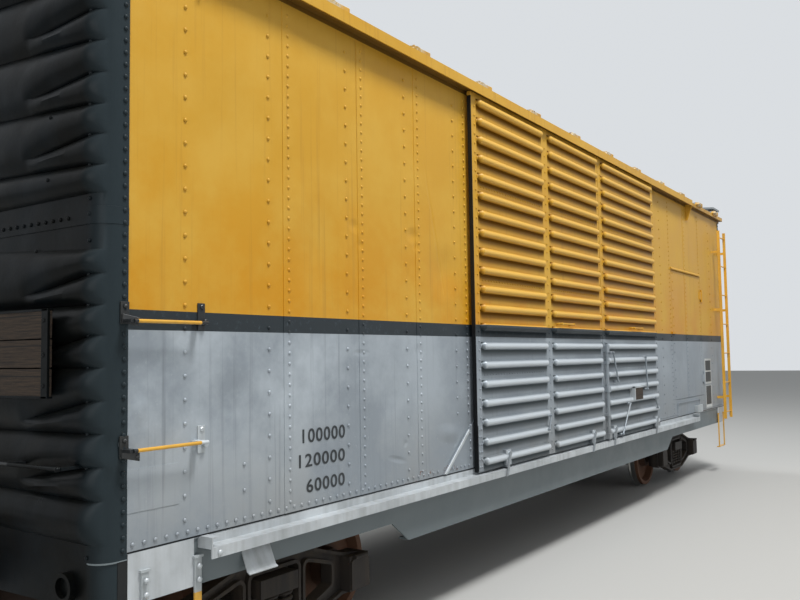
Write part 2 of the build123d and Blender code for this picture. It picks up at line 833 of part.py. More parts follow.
# Access door: one leaf cut from the side, hinged on its right edge.
with BuildPart() as access_door:
    block(access_left_x + access_gap, access_right_x - access_gap, -side_half_width, -wall_inner,
          access_bottom + access_gap, access_top - access_gap)
    block(access_left_x + access_gap, access_left_x + 2 * hasp_reach, -side_half_width - 10, -side_half_width,
          hasp_z - 22, hasp_z + 22)
    rod((access_left_x + hasp_reach, -side_half_width - 20, hasp_z),
        (access_left_x + hasp_reach, -side_half_width, hasp_z), 12)
    for hinge_z in hinge_heights:
        rod((access_right_x, hinge_y, hinge_z - hinge_half), (access_right_x, hinge_y, hinge_z + hinge_half),
            hinge_radius)
        block(access_right_x - 90, access_right_x, hinge_y, -side_half_width, hinge_z - hinge_half,
              hinge_z + hinge_half)
publish(access_door, "access_door")


# Trucks. Everything is built about the truck's own center and then moved to its place.
def placed(piece, x):
    """The piece moved along the car by x."""
    with BuildPart() as moved_piece:
        add(piece.part.moved(Location((x, 0, 0))))
    return moved_piece


half_base = truck_wheelbase / 2
frame_inner = journal_center - side_frame_thickness / 2
frame_outer = journal_center + side_frame_thickness / 2
frame_web = 34
frame_rim = 24
box_bottom = 320
box_top = 570
box_back = journal_center - 95
box_front = journal_center + 110
lid_gauge = 14
with BuildPart() as truck_frames:
    with BuildSketch(Plane.XZ.offset(-(journal_center + frame_web / 2))) as frame_outline:
        Polygon(
            (-half_base - 150, 560), (-half_base - 150, 300), (-half_base + 130, 300),
            (-300, 180), (300, 180), (half_base - 130, 300), (half_base + 150, 300),
            (half_base + 150, 560), (half_base - 130, 600), (330, 712), (-330, 712),
            (-half_base + 130, 600),
            align=None,
        )
        fillet(frame_outline.vertices(), 36)
        with BuildSketch(Plane.XZ.offset(-(journal_center + frame_web / 2)), mode=Mode.SUBTRACT) as windows:
            Polygon((-230, 240), (230, 240), (230, 630), (-230, 630), align=None)
            for way in (-1, 1):
                Polygon((way * 300, 290), (way * 590, 400), (way * 590, 540), (way * 300, 620), align=None)
            fillet(windows.vertices(), 30)
    extrude(frame_outline.sketch, amount=frame_web)
    with BuildSketch(Plane.XZ.offset(-frame_outer)) as frame_rims:
        add(frame_outline.sketch.moved(Location((0, frame_outer - journal_center - frame_web / 2, 0))))
        offset(amount=-frame_rim, kind=Kind.INTERSECTION, mode=Mode.SUBTRACT)
    extrude(frame_rims.sketch, amount=side_frame_thickness)
    for way in (-1, 1):
        block(way * half_base - box_half_width, way * half_base + box_half_width,
              box_back, box_front, box_bottom, box_top)
        side_plate(
            [
                (way * half_base - box_half_width + 8, box_bottom + 12),
                (way * half_base - box_half_width + 8, box_top - 40),
                (way * half_base - 60, box_top - 12),
                (way * half_base + 60, box_top - 12),
                (way * half_base + box_half_width - 8, box_top - 40),
                (way * half_base + box_half_width - 8, box_bottom + 12),
            ],
            box_front, box_front + lid_gauge,
        )
        rod((way * half_base - 70, box_front + lid_gauge, box_top - 8),
            (way * half_base + 70, box_front + lid_gauge, box_top - 8), 16)
        rod((way * half_base, journal_center - 200, axle_height),
            (way * half_base, journal_center + journal_length / 2 - 20, axle_height),
            journal_radius + journal_clearance, mode=Mode.SUBTRACT)
    mirror(about=Plane.XZ)

bolster_bottom = 440
with BuildPart() as truck_bolster:
    cross_plate(
        [
            (-1080, 480), (-1080, 600), (-560, 600), (-260, center_plate_top - 20),
            (-260, center_plate_top), (260, center_plate_top), (260, center_plate_top - 20),
            (560, 600), (1080, 600), (1080, 480), (560, 480), (300, bolster_bottom),
            (-300, bolster_bottom), (-560, 480),
        ],
        -180, 180,
    )
    with BuildSketch(Plane.XY.offset(bowl_bottom)) as bowl:
        Circle(center_plate_radius)
    extrude(bowl.sketch, amount=bowl_depth, mode=Mode.SUBTRACT)

spring_radius = 60
with BuildPart() as truck_springs:
    for spring_y in (-journal_center, journal_center):
        for spring_x in (-140, 0, 140):
            rod((spring_x, spring_y, 240), (spring_x, spring_y, 480), spring_radius)

with BuildPart() as brake_beams:
    for way in (-1, 1):
        beam_x = way * (half_base - tread_radius - 78)
        block(beam_x - 35, beam_x + 35, -frame_inner, frame_inner, 240, 288)
        for shoe_y in (-756, 756):
            block(min(beam_x, beam_x + way * 60), max(beam_x, beam_x + way * 60), shoe_y - 38, shoe_y + 38,
                  240, 500)

wheel_in = wheel_back_to_back / 2
wheel_out = wheel_in + rim_width
hub_in = wheel_in - 10
hub_out = wheel_out + 15
seat_radius = axle_radius + 8
journal_in = journal_center - journal_length / 2
journal_end = journal_center + journal_length / 2 - 25
with BuildPart() as axle:
    with BuildSketch(Plane.YZ) as axle_section:
        Polygon(
            (0, 0),
            (0, axle_radius),
            (hub_in, seat_radius),
            (hub_out, seat_radius),
            (journal_in, axle_radius + 4),
            (journal_in, journal_radius),
            (journal_end, journal_radius),
            (journal_end, 0),
            align=None,
        )
    revolve(axle_section.sketch, axis=Axis.Y)
    mirror(about=Plane.XZ)

with BuildPart() as wheels:
    with BuildSketch(Plane.YZ) as wheel_section:
        Polygon(
            (hub_in, seat_radius),
            (hub_in, 135),
            (wheel_in + 45, 150),
            (wheel_in + 30, 330),
            (wheel_in, 360),
            (wheel_in, tread_radius + 12),
            (wheel_in + 10, tread_radius + flange_depth),
            (wheel_in + 18, tread_radius + flange_depth),
            (wheel_in + flange_width + 6, tread_radius + 2),
            (wheel_out, tread_radius - 5),
            (wheel_out, 365),
            (wheel_in + 60, 335),
            (wheel_in + 75, 150),
            (hub_out, 135),
            (hub_out, seat_radius),
            align=None,
        )
    revolve(wheel_section.sketch, axis=Axis.Y)
    mirror(about=Plane.XZ)


def on_axle(piece, x):
    """The piece moved along the car by x and up to the height of the axles."""
    with BuildPart() as moved_piece:
        add(piece.part.moved(Location((x, 0, axle_height))))
    return moved_piece


for truck_name, truck_place in (("left", -truck_x), ("right", truck_x)):
    publish(placed(truck_frames, truck_place), f"{truck_name}_truck_side_frames")
    publish(placed(truck_bolster, truck_place), f"{truck_name}_truck_bolster")
    publish(placed(truck_springs, truck_place), f"{truck_name}_truck_springs")
    publish(placed(brake_beams, truck_place), f"{truck_name}_brake_beams")
    for axle_name, axle_place in (("left", -half_base), ("right", half_base)):
        publish(on_axle(axle, truck_place + axle_place), f"{truck_name}_truck_{axle_name}_axle")
        publish(on_axle(wheels, truck_place + axle_place), f"{truck_name}_truck_{axle_name}_wheels")

# Couplers: shank, head with guard arm, and a knuckle on its own pin.
pin_x = pulling_face - coupler_pin_back
lug_gap = 5
knuckle_pin = (pulling_face - 95, 95)
hub_radius = 58
with BuildPart() as coupler:
    block(pin_x - 70, pulling_face - 240, -shank_width / 2, shank_width / 2,
          coupler_height - shank_height / 2, coupler_height + shank_height / 2)
    flat_plate(
        [
            (pulling_face - 260, -110), (pulling_face - 130, -215), (pulling_face + 40, -260),
            (pulling_face + 60, -215), (pulling_face - 40, -150), (pulling_face - 110, -60),
            (pulling_face - 170, 20), (pulling_face - 165, 150), (pulling_face - 260, 110),
        ],
        coupler_height - 130, coupler_height + 130,
    )
    for lug_low, lug_high in ((-165, -115), (115, 165)):
        flat_plate(
            [
                (pulling_face - 250, -60), (pulling_face - 120, -60), (pulling_face - 40, 60),
                (pulling_face - 50, 150), (pulling_face - 150, 170), (pulling_face - 250, 110),
            ],
            coupler_height + lug_low, coupler_height + lug_high,
        )
    rod((pin_x, 0, coupler_height - 90), (pin_x, 0, coupler_height + 90), 40, mode=Mode.SUBTRACT)
    rod((*knuckle_pin, coupler_height - 175), (*knuckle_pin, coupler_height + 175), pin_radius)
with BuildPart() as knuckle:
    knuckle_low = coupler_height - 115 + lug_gap
    knuckle_high = coupler_height + 115 - lug_gap
    with BuildSketch(Plane.XY.offset(knuckle_low)) as knuckle_plan:
        with Locations(knuckle_pin):
            Circle(hub_radius)
        Polygon(
            (pulling_face - 115, 150), (pulling_face - 40, 160), (pulling_face + 55, 120),
            (pulling_face + 75, 10), (pulling_face + 20, -30), (pulling_face, 0), (pulling_face - 10, 60),
            (pulling_face - 60, 60),
            align=None,
        )
    extrude(knuckle_plan.sketch, amount=knuckle_high - knuckle_low)
    rod((*knuckle_pin, knuckle_low), (*knuckle_pin, knuckle_high), pin_radius + 0.5, mode=Mode.SUBTRACT)
publish(coupler, "right_coupler")
publish(knuckle, "right_knuckle")
publish(turned(coupler), "left_coupler")
publish(turned(knuckle), "left_knuckle")

# Draft gear: a striker plate round each shank and a pin block that carries the coupler butt.
with BuildPart() as strikers:
    carrier_out = half_sill + center_sill_flange
    flange_top = center_sill_bottom + center_sill_web
    block(striker_face - 40, striker_face, -carrier_out, carrier_out, 700, center_sill_bottom)
    for half in (-1, 1):
        block(striker_face - 40, striker_face, min(half * half_sill, half * carrier_out),
              max(half * half_sill, half * carrier_out), flange_top, deck_bottom)
    rod((pin_x, 0, center_sill_bottom), (pin_x, 0, deck_bottom - center_sill_web), 39)
    block(pin_x - 90, pin_x + 90, -half_sill + center_sill_web, half_sill - center_sill_web,
          center_sill_bottom, coupler_height - shank_height / 2 - plate_clearance)
    add(strikers.part.rotate(Axis.Z, 180))
publish(strikers, "draft_gear")

# Brake wheel on the right end, with its gear housing.
wheel_y = -420
wheel_z = 3560
brake_wheel_radius = 280
rim_radius = 16
housing_front = rib_crest_x + 110
platform_room = 174
platform_left = end_rails[1] + stile_bar / 2 + platform_room
platform_right = wheel_y + 360
platform_bracket_inset = 80
platform_rib_z = upper_rib_tops[3] - main_rib_height / 2
platform_z = platform_rib_z + 170
with BuildPart() as brake_housing:
    block(rib_crest_x, housing_front, wheel_y - 110, wheel_y + 110, wheel_z - 210, wheel_z + 120)
    rod((rib_crest_x + 30, wheel_y, 860), (rib_crest_x + 30, wheel_y, wheel_z - 200), 14)
    for plank in range(3):
        plank_x = rib_crest_x + 45 + plank * 75
        block(plank_x, plank_x + 65, platform_left, platform_right, platform_z - 40, platform_z)
    for bracket_y in (platform_left + platform_bracket_inset, platform_right - platform_bracket_inset):
        side_plate(
            [
                (rib_crest_x, platform_z - 40), (rib_crest_x + 260, platform_z - 40),
                (rib_crest_x + 260, platform_z - 60), (rib_crest_x + 30, platform_rib_z - 40),
                (rib_crest_x, platform_rib_z - 40),
            ],
            bracket_y - 8, bracket_y + 8,
        )
publish(brake_housing, "brake_gear_housing")
with BuildPart() as brake_wheel:
    wheel_plane_x = housing_front + 60
    with BuildSketch(Plane.XZ.offset(-wheel_y)) as rim_section:
        with Locations((wheel_plane_x, wheel_z + brake_wheel_radius)):
            Circle(rim_radius)
    revolve(rim_section.sketch, axis=Axis((0, wheel_y, wheel_z), (1, 0, 0)))
    rod((housing_front + plate_clearance, wheel_y, wheel_z), (wheel_plane_x + 30, wheel_y, wheel_z), 40)
    for spoke in range(5):
        angle = radians(72 * spoke + 17)
        rod((wheel_plane_x, wheel_y + 25 * sin(angle), wheel_z + 25 * cos(angle)),
            (wheel_plane_x, wheel_y + (brake_wheel_radius - 6) * sin(angle),
             wheel_z + (brake_wheel_radius - 6) * cos(angle)), 11)
publish(brake_wheel, "brake_wheel")

# Ladders: four, one on the side and one on the end at each of two corners.
ladder_bottom = lowest_rung - 110
ladder_top = lowest_rung + (ladder_rungs - 1) * rung_spacing + 110
standoffs = [lowest_rung + (row + 0.5) * rung_spacing for row in (0, 3, 5)]
standoff_tops = (lower_rib_tops[3], lower_rib_tops[0], upper_rib_tops[1])
end_standoffs = [rib_top - main_rib_height / 2 for rib_top in standoff_tops]
side_rail_y = -side_half_width - ladder_proud
end_rail_x = end_face + ladder_proud
with BuildPart() as ladder_rails:
    for rail_x in side_rails:
        block(rail_x - stile_bar / 2, rail_x + stile_bar / 2, side_rail_y, side_rail_y + stile_depth,
              ladder_bottom, ladder_top)
        for standoff_z in standoffs:
            block(rail_x - stile_bar / 2, rail_x + stile_bar / 2, side_rail_y + stile_depth,
                  -side_half_width, standoff_z - 20, standoff_z + 20)
    for rail_y, seat_x in ((end_rails[0], end_face), (end_rails[1], rib_crest_x)):
        block(end_rail_x - stile_depth, end_rail_x, rail_y - stile_bar / 2, rail_y + stile_bar / 2,
              ladder_bottom, ladder_top)
        for crest_z in end_standoffs:
            block(seat_x, end_rail_x - stile_depth, rail_y - stile_bar / 2, rail_y + stile_bar / 2,
                  crest_z - 20, crest_z + 20)
    add(ladder_rails.part.rotate(Axis.Z, 180))
publish(ladder_rails, "ladder_rails")

with BuildPart() as ladder_rungs_set:
    for rung in range(ladder_rungs):
        rung_z = lowest_rung + rung * rung_spacing
        rung_y = side_rail_y + stile_depth / 2
        rung_x = end_rail_x - stile_depth / 2
        rod((side_rails[0] + stile_bar / 2, rung_y, rung_z), (side_rails[1] - stile_bar / 2, rung_y, rung_z),
            round_bar / 2)
        rod((rung_x, end_rails[0] + stile_bar / 2, rung_z), (rung_x, end_rails[1] - stile_bar / 2, rung_z),
            round_bar / 2)
    add(ladder_rungs_set.part.rotate(Axis.Z, 180))
publish(ladder_rungs_set, "ladder_rungs")

# Grab irons at the ladderless corners: two on the side and one on the end.
with BuildPart() as grab_irons:
    grab_y = -(side_half_width + grab_proud)
    for grab_z in (2214, 1585):
        rod((-side_half - 24, grab_y, grab_z), (-side_half + 455, grab_y, grab_z), round_bar / 2)
        block(-side_half - 44, -side_half - 4, grab_y, -side_half_width - lap_thickness,
              grab_z - 8, grab_z + 8)
        block(-side_half + 415, -side_half + 455, grab_y, -side_half_width, grab_z - 8, grab_z + 8)
    grab_x = -end_face - grab_proud - main_rib_bulge
    end_grab_z = lower_rib_tops[3] - main_rib_height / 2
    rod((grab_x, -920, end_grab_z), (grab_x, -200, end_grab_z), round_bar / 2)
    for post_y in (-905, -215):
        block(grab_x, -rib_crest_x, post_y - 20, post_y + 20,
              end_grab_z - 8, end_grab_z + 8)
    add(grab_irons.part.rotate(Axis.Z, 180))
publish(grab_irons, "grab_irons")

# Sill steps: a bent strap below each corner of the body.
step_gauge = 12
step_strap = 45
step_bottom = 430
step_top = 978
with BuildPart() as sill_steps:
    for step_left, step_right in ((105, 450), (side_length - 450, side_length - 105)):
        left_x = step_left - side_half
        right_x = step_right - side_half
        outer_y = -side_half_width - step_gauge
        for leg_x in (left_x, right_x):
            block(leg_x - step_strap / 2, leg_x + step_strap / 2, outer_y, -side_half_width,
                  step_bottom, step_top)
            block(leg_x - step_strap / 2 - 8, leg_x + step_strap / 2 + 8, outer_y - 6, -side_half_width,
                  step_top, step_top + step_gauge)
        block(left_x - step_strap / 2, right_x + step_strap / 2, outer_y, outer_y + step_strap,
              step_bottom, step_bottom + step_gauge)
    add(sill_steps.part.rotate(Axis.Z, 180))
publish(sill_steps, "sill_steps")

# Route boards on the ends: weathered planks in a steel frame.
board_low = 1829
board_high = 2291
board_near_y = -(side_half_width - 642)
board_far_y = board_near_y + 760
with BuildPart() as route_boards:
    board_back = end_face + main_rib_bulge + 25
    block(board_back, board_back + 30, -board_far_y, -board_near_y, board_low, board_high)
    for post_y in (-board_far_y + 60, -board_near_y - 60):
        for crest in lower_rib_tops[1:3]:
            crest_z = crest - main_rib_height / 2
            block(rib_crest_x, board_back, post_y - 20, post_y + 20,
                  crest_z - 30, crest_z + 30)
    add(route_boards.part.rotate(Axis.Z, 180))
publish(route_boards, "route_boards")

# Running board along the ridge, on saddles over the seam caps.
board_half = 250
board_gauge = 32
board_low_z = ridge_top + seam_cap_height + 30
lateral_width = 190
lateral_saddles = 3
saddle_half = 15
with BuildPart() as running_board:
    block(-end_face, end_face, -board_half, board_half, board_low_z, board_low_z + board_gauge)
    for seam_x in seam_places:
        block(seam_x - 20, seam_x + 20, -board_half, board_half, ridge_top + seam_cap_height, board_low_z)
    lateral_top = board_low_z + board_gauge
    lateral_drop = roof_rise * (roof_edge - board_half) / roof_edge
    for board_left in (side_rails[0], side_rails[0] + lateral_width + 20):
        cross_plate(
            [
                (-board_half, lateral_top), (-roof_edge, lateral_top - lateral_drop),
                (-roof_edge, lateral_top - lateral_drop - board_gauge), (-board_half, board_low_z),
            ],
            board_left, board_left + lateral_width,
        )
    for saddle in range(lateral_saddles):
        reach = (saddle + 0.75) / lateral_saddles
        saddle_y = board_half + reach * (roof_edge - board_half)
        roof_z = ridge_top - roof_rise * saddle_y / roof_edge
        board_z = lateral_top - lateral_drop * reach
        block(side_rails[0] + 30, side_rails[0] + 2 * lateral_width + 10,
              -saddle_y - saddle_half, -saddle_y + saddle_half, roof_z + 2, board_z - board_gauge / 2)
    add(running_board.part.rotate(Axis.Z, 180))
publish(running_board, "running_board")

# Air brake set under the floor: reservoir, cylinder and control valve with their hangers, and
# the train pipe that runs beside the center sill.
# Tanks. Columns: left x, right x, y, z, radius
brake_tanks = [(-1700, -900, 640, 850, 150), (1000, 1450, -560, 870, 130)]
valve_low = (300, 560, 760)
valve_high = (560, 760, 940)
# Hangers. Columns: x, y
brake_hangers = [(-1600, 640), (-1000, 640), (1100, -560), (1350, -560), (430, 660)]
hanger_foot = 930
with BuildPart() as air_brakes:
    for tank_left, tank_right, tank_y, tank_z, tank_radius in brake_tanks:
        rod((tank_left, tank_y, tank_z), (tank_right, tank_y, tank_z), tank_radius)
    block(valve_low[0], valve_high[0], valve_low[1], valve_high[1], valve_low[2], valve_high[2])
    for hanger_x, hanger_y in brake_hangers:
        block(hanger_x - 20, hanger_x + 20, hanger_y - 60, hanger_y + 60, hanger_foot, deck_bottom)
    rod((-striker_face - 40, pipe_y, pipe_z), (striker_face + 40, pipe_y, pipe_z), pipe_radius)
    for end_side in (-1, 1):
        cock_x = end_side * (striker_face + 40)
        rod((cock_x - end_side * 50, pipe_y, pipe_z), (cock_x + end_side * 20, pipe_y, pipe_z), 34)
        rod((cock_x, pipe_y, pipe_z), (cock_x + end_side * 60, pipe_y, pipe_z - 70), 26)
        rod((cock_x, pipe_y, pipe_z), (cock_x, pipe_y, pipe_z + 55), 12)
        block(cock_x - 60, cock_x + 60, pipe_y - 8, pipe_y + 8, pipe_z + 50, pipe_z + 62)
publish(air_brakes, "air_brake_set")

# Uncoupling levers: one bent rod at each end, from a handle near the side to above the coupler.
lever_x = end_face + 40
lever_y = -side_half_width + 45
lever_z = sheet_bottom + 20
lever_radius = 12
lever_arm_radius = 10
lever_handle_drop = 260
with BuildPart() as levers:
    rod((lever_x, lever_y - lever_radius, lever_z), (lever_x, lever_radius, lever_z), lever_radius)
    rod((lever_x, lever_y, lever_z), (lever_x + 20, lever_y, lever_z - lever_handle_drop), lever_arm_radius)
    rod((lever_x, 0, lever_z), (pulling_face - 150, 0, lever_z + 4), lever_arm_radius)
    for bracket_y in (lever_y + 160, -300):
        block(end_face, lever_x + lever_radius, bracket_y - 10, bracket_y + 10,
              lever_z - lever_radius - 6, lever_z + lever_radius + 6)
    add(levers.part.rotate(Axis.Z, 180))
publish(levers, "uncoupling_levers")
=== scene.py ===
"""Looks of the railroad boxcar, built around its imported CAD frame.

Metres throughout, in the CAD's own frame: X along the car, the near side faces -Y, Z is up.
Stations are measured along the near side from the left corner of its sheets. The far side and
the right end repeat the near side and the left end, turned half round about Z.
"""
import json
import logging
import math
from contextlib import contextmanager
from dataclasses import dataclass, field
from enum import Enum
from functools import partial
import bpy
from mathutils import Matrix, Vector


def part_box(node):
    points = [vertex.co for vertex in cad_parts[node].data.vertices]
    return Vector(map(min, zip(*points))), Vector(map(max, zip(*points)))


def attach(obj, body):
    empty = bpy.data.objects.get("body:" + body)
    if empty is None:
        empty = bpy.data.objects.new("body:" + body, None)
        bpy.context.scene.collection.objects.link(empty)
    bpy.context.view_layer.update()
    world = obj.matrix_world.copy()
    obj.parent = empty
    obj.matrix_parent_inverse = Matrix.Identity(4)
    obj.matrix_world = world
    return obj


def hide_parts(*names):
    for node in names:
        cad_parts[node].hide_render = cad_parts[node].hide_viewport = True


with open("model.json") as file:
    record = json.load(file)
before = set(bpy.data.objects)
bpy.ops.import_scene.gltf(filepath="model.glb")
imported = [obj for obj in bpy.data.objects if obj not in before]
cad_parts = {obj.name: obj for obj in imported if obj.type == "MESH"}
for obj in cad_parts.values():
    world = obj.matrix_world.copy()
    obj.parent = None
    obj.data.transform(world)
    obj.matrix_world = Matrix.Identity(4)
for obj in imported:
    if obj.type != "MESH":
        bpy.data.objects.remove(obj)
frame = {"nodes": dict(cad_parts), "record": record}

from types import SimpleNamespace
from typing import Callable, Iterator, Optional, Sequence

import bpy
from mathutils import Matrix, Vector

LOG = logging.getLogger("boxcar")
MM = 0.001
Point = tuple[float, float, float]
# Left and right station, foot and top of something on the near side.
Area = tuple[float, float, float, float]
Socket = bpy.types.NodeSocket
Material = bpy.types.Material
Piece = bpy.types.Object

# Sockets of a Mix node that is set to colour.
FACTOR, FIRST, SECOND, MIXED = 0, 6, 7, 2

# Walls of the CAD car that the pieces stand on.
CORNER_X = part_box("near_left_side")[0].x + 0.05
SIDE_Y = -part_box("far_left_side")[1].y
END_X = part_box("near_roof")[0].x
DOOR_Y = -1.512
FLANGE_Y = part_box("left_end_upper")[0].y
TURN = Matrix.Rotation(math.pi, 4, "Z")

# What a side or an end is called after that turn.
OPPOSITE = {"near": "far", "left": "right"}


def spot(station: float, y: float, z: float) -> Point:
    """Gives the car's coordinates of a place whose station is known."""
    return CORNER_X + station, y, z


def share(value: float, start: float, full: float) -> float:
    """Tells how far a value has come from start to full, from 0 to 1."""
    return min(max((value - start) / (full - start), 0.0), 1.0)


def linear(hex_colour: str) -> tuple[float, float, float, float]:
    """Turns an sRGB hex colour into the linear colour, with alpha, that Blender's sockets take.

    Args:
        hex_colour: Six hex digits, such as "C8952F".

    Returns:
        Red, green, blue and an alpha of 1.
    """
    channels = [int(hex_colour[start:start + 2], 16) / 255 for start in (0, 2, 4)]
    red, green, blue = (c / 12.92 if c <= 0.04045 else ((c + 0.055) / 1.055) ** 2.4 for c in channels)
    return red, green, blue, 1.0


def feed(tree: bpy.types.NodeTree, node: bpy.types.Node, inputs: dict) -> None:
    """Links or sets a node's inputs.

    Args:
        tree: The material's or the world's node tree.
        node: The node.
        inputs: Input name or index, to a value, a hex colour or the socket that feeds it.
    """
    for key, value in inputs.items():
        if isinstance(value, Socket):
            tree.links.new(value, node.inputs[key])
        else:
            node.inputs[key].default_value = linear(value) if isinstance(value, str) else value


def add_node(tree: bpy.types.NodeTree, kind: str, inputs: Optional[dict] = None, out=0, **settings) -> Socket:
    """Adds one shader node, with its settings, its values and its links.

    Args:
        tree: The material's or the world's node tree.
        kind: The node type's name without its "ShaderNode" prefix.
        inputs: Input name or index, to a value, a hex colour or the socket that feeds it.
        out: Name or index of the output to give back.
        **settings: Properties of the node itself.

    Returns:
        One output socket of the new node.
    """
    new = tree.nodes.new("ShaderNode" + kind)
    for name, value in settings.items():
        setattr(new, name, value)
    feed(tree, new, inputs or {})
    return new.outputs[out]


@dataclass(frozen=True)
class Surface:
    """What every finish starts from, shares and ends with."""

    name: str

    def begin(self) -> tuple[Material, Callable, Socket]:
        """Opens a node material. Returns it, its node adder and the car's own coordinates."""
        material = bpy.data.materials.new(self.name)
        material.use_nodes = True
        add = partial(add_node, material.node_tree)
        return material, add, add("TexCoord", out="Object")

    @staticmethod
    def corners(add: Callable, place: Socket) -> tuple[Socket, Socket, Socket]:
        """Gives coordinates that all four corners of the car share.

        Args:
            add: The material's node adder.
            place: The car's coordinates.

        Returns:
            X toward the left on the near side and the right on the far side, distance from the
            middle line, and Z.
        """
        along, across, height = add("SeparateXYZ", {"Vector": place}).node.outputs
        sign = add("Math", {0: across}, operation="SIGN")
        swing = add("Math", {0: along, 1: sign}, operation="MULTIPLY")
        return swing, add("Math", {0: across}, operation="ABSOLUTE"), height

    @staticmethod
    def overlap(add: Callable, *masks: Socket) -> Socket:
        """Marks where several masks lie over each other.

        Args:
            add: The material's node adder.
            *masks: The masks, at least one.

        Returns:
            The product of the masks.
        """
        whole = masks[0]
        for mask in masks[1:]:
            whole = add("Math", {0: whole, 1: mask}, operation="MULTIPLY")
        return whole

    @staticmethod
    def lay(add: Callable, colour: str | Socket, coats: Sequence[tuple[Socket, str | Socket]]) -> Socket:
        """Lays coats over a colour.

        Args:
            add: The material's node adder.
            colour: The ground, as a hex colour or a socket.
            coats: Each coat's mask and its tone, lowest first.

        Returns:
            The colour that is seen.
        """
        for mask, tone in coats:
            colour = add("Mix", {FACTOR: mask, FIRST: colour, SECOND: tone}, out=MIXED, data_type="RGBA")
        return colour

    @staticmethod
    def close(material: Material, inputs: dict) -> Material:
        """Feeds the shader. Returns the material."""
        feed(material.node_tree, material.node_tree.nodes["Principled BSDF"], inputs)
        return material


@dataclass(frozen=True)
class Dent:
    """A knock in the near side's sheet: a soft oval hollow, or a blister where depth is negative."""

    station: float
    z: float
    half_width: float
    half_height: float
    depth_mm: float
    lean_degrees: float = 0.0


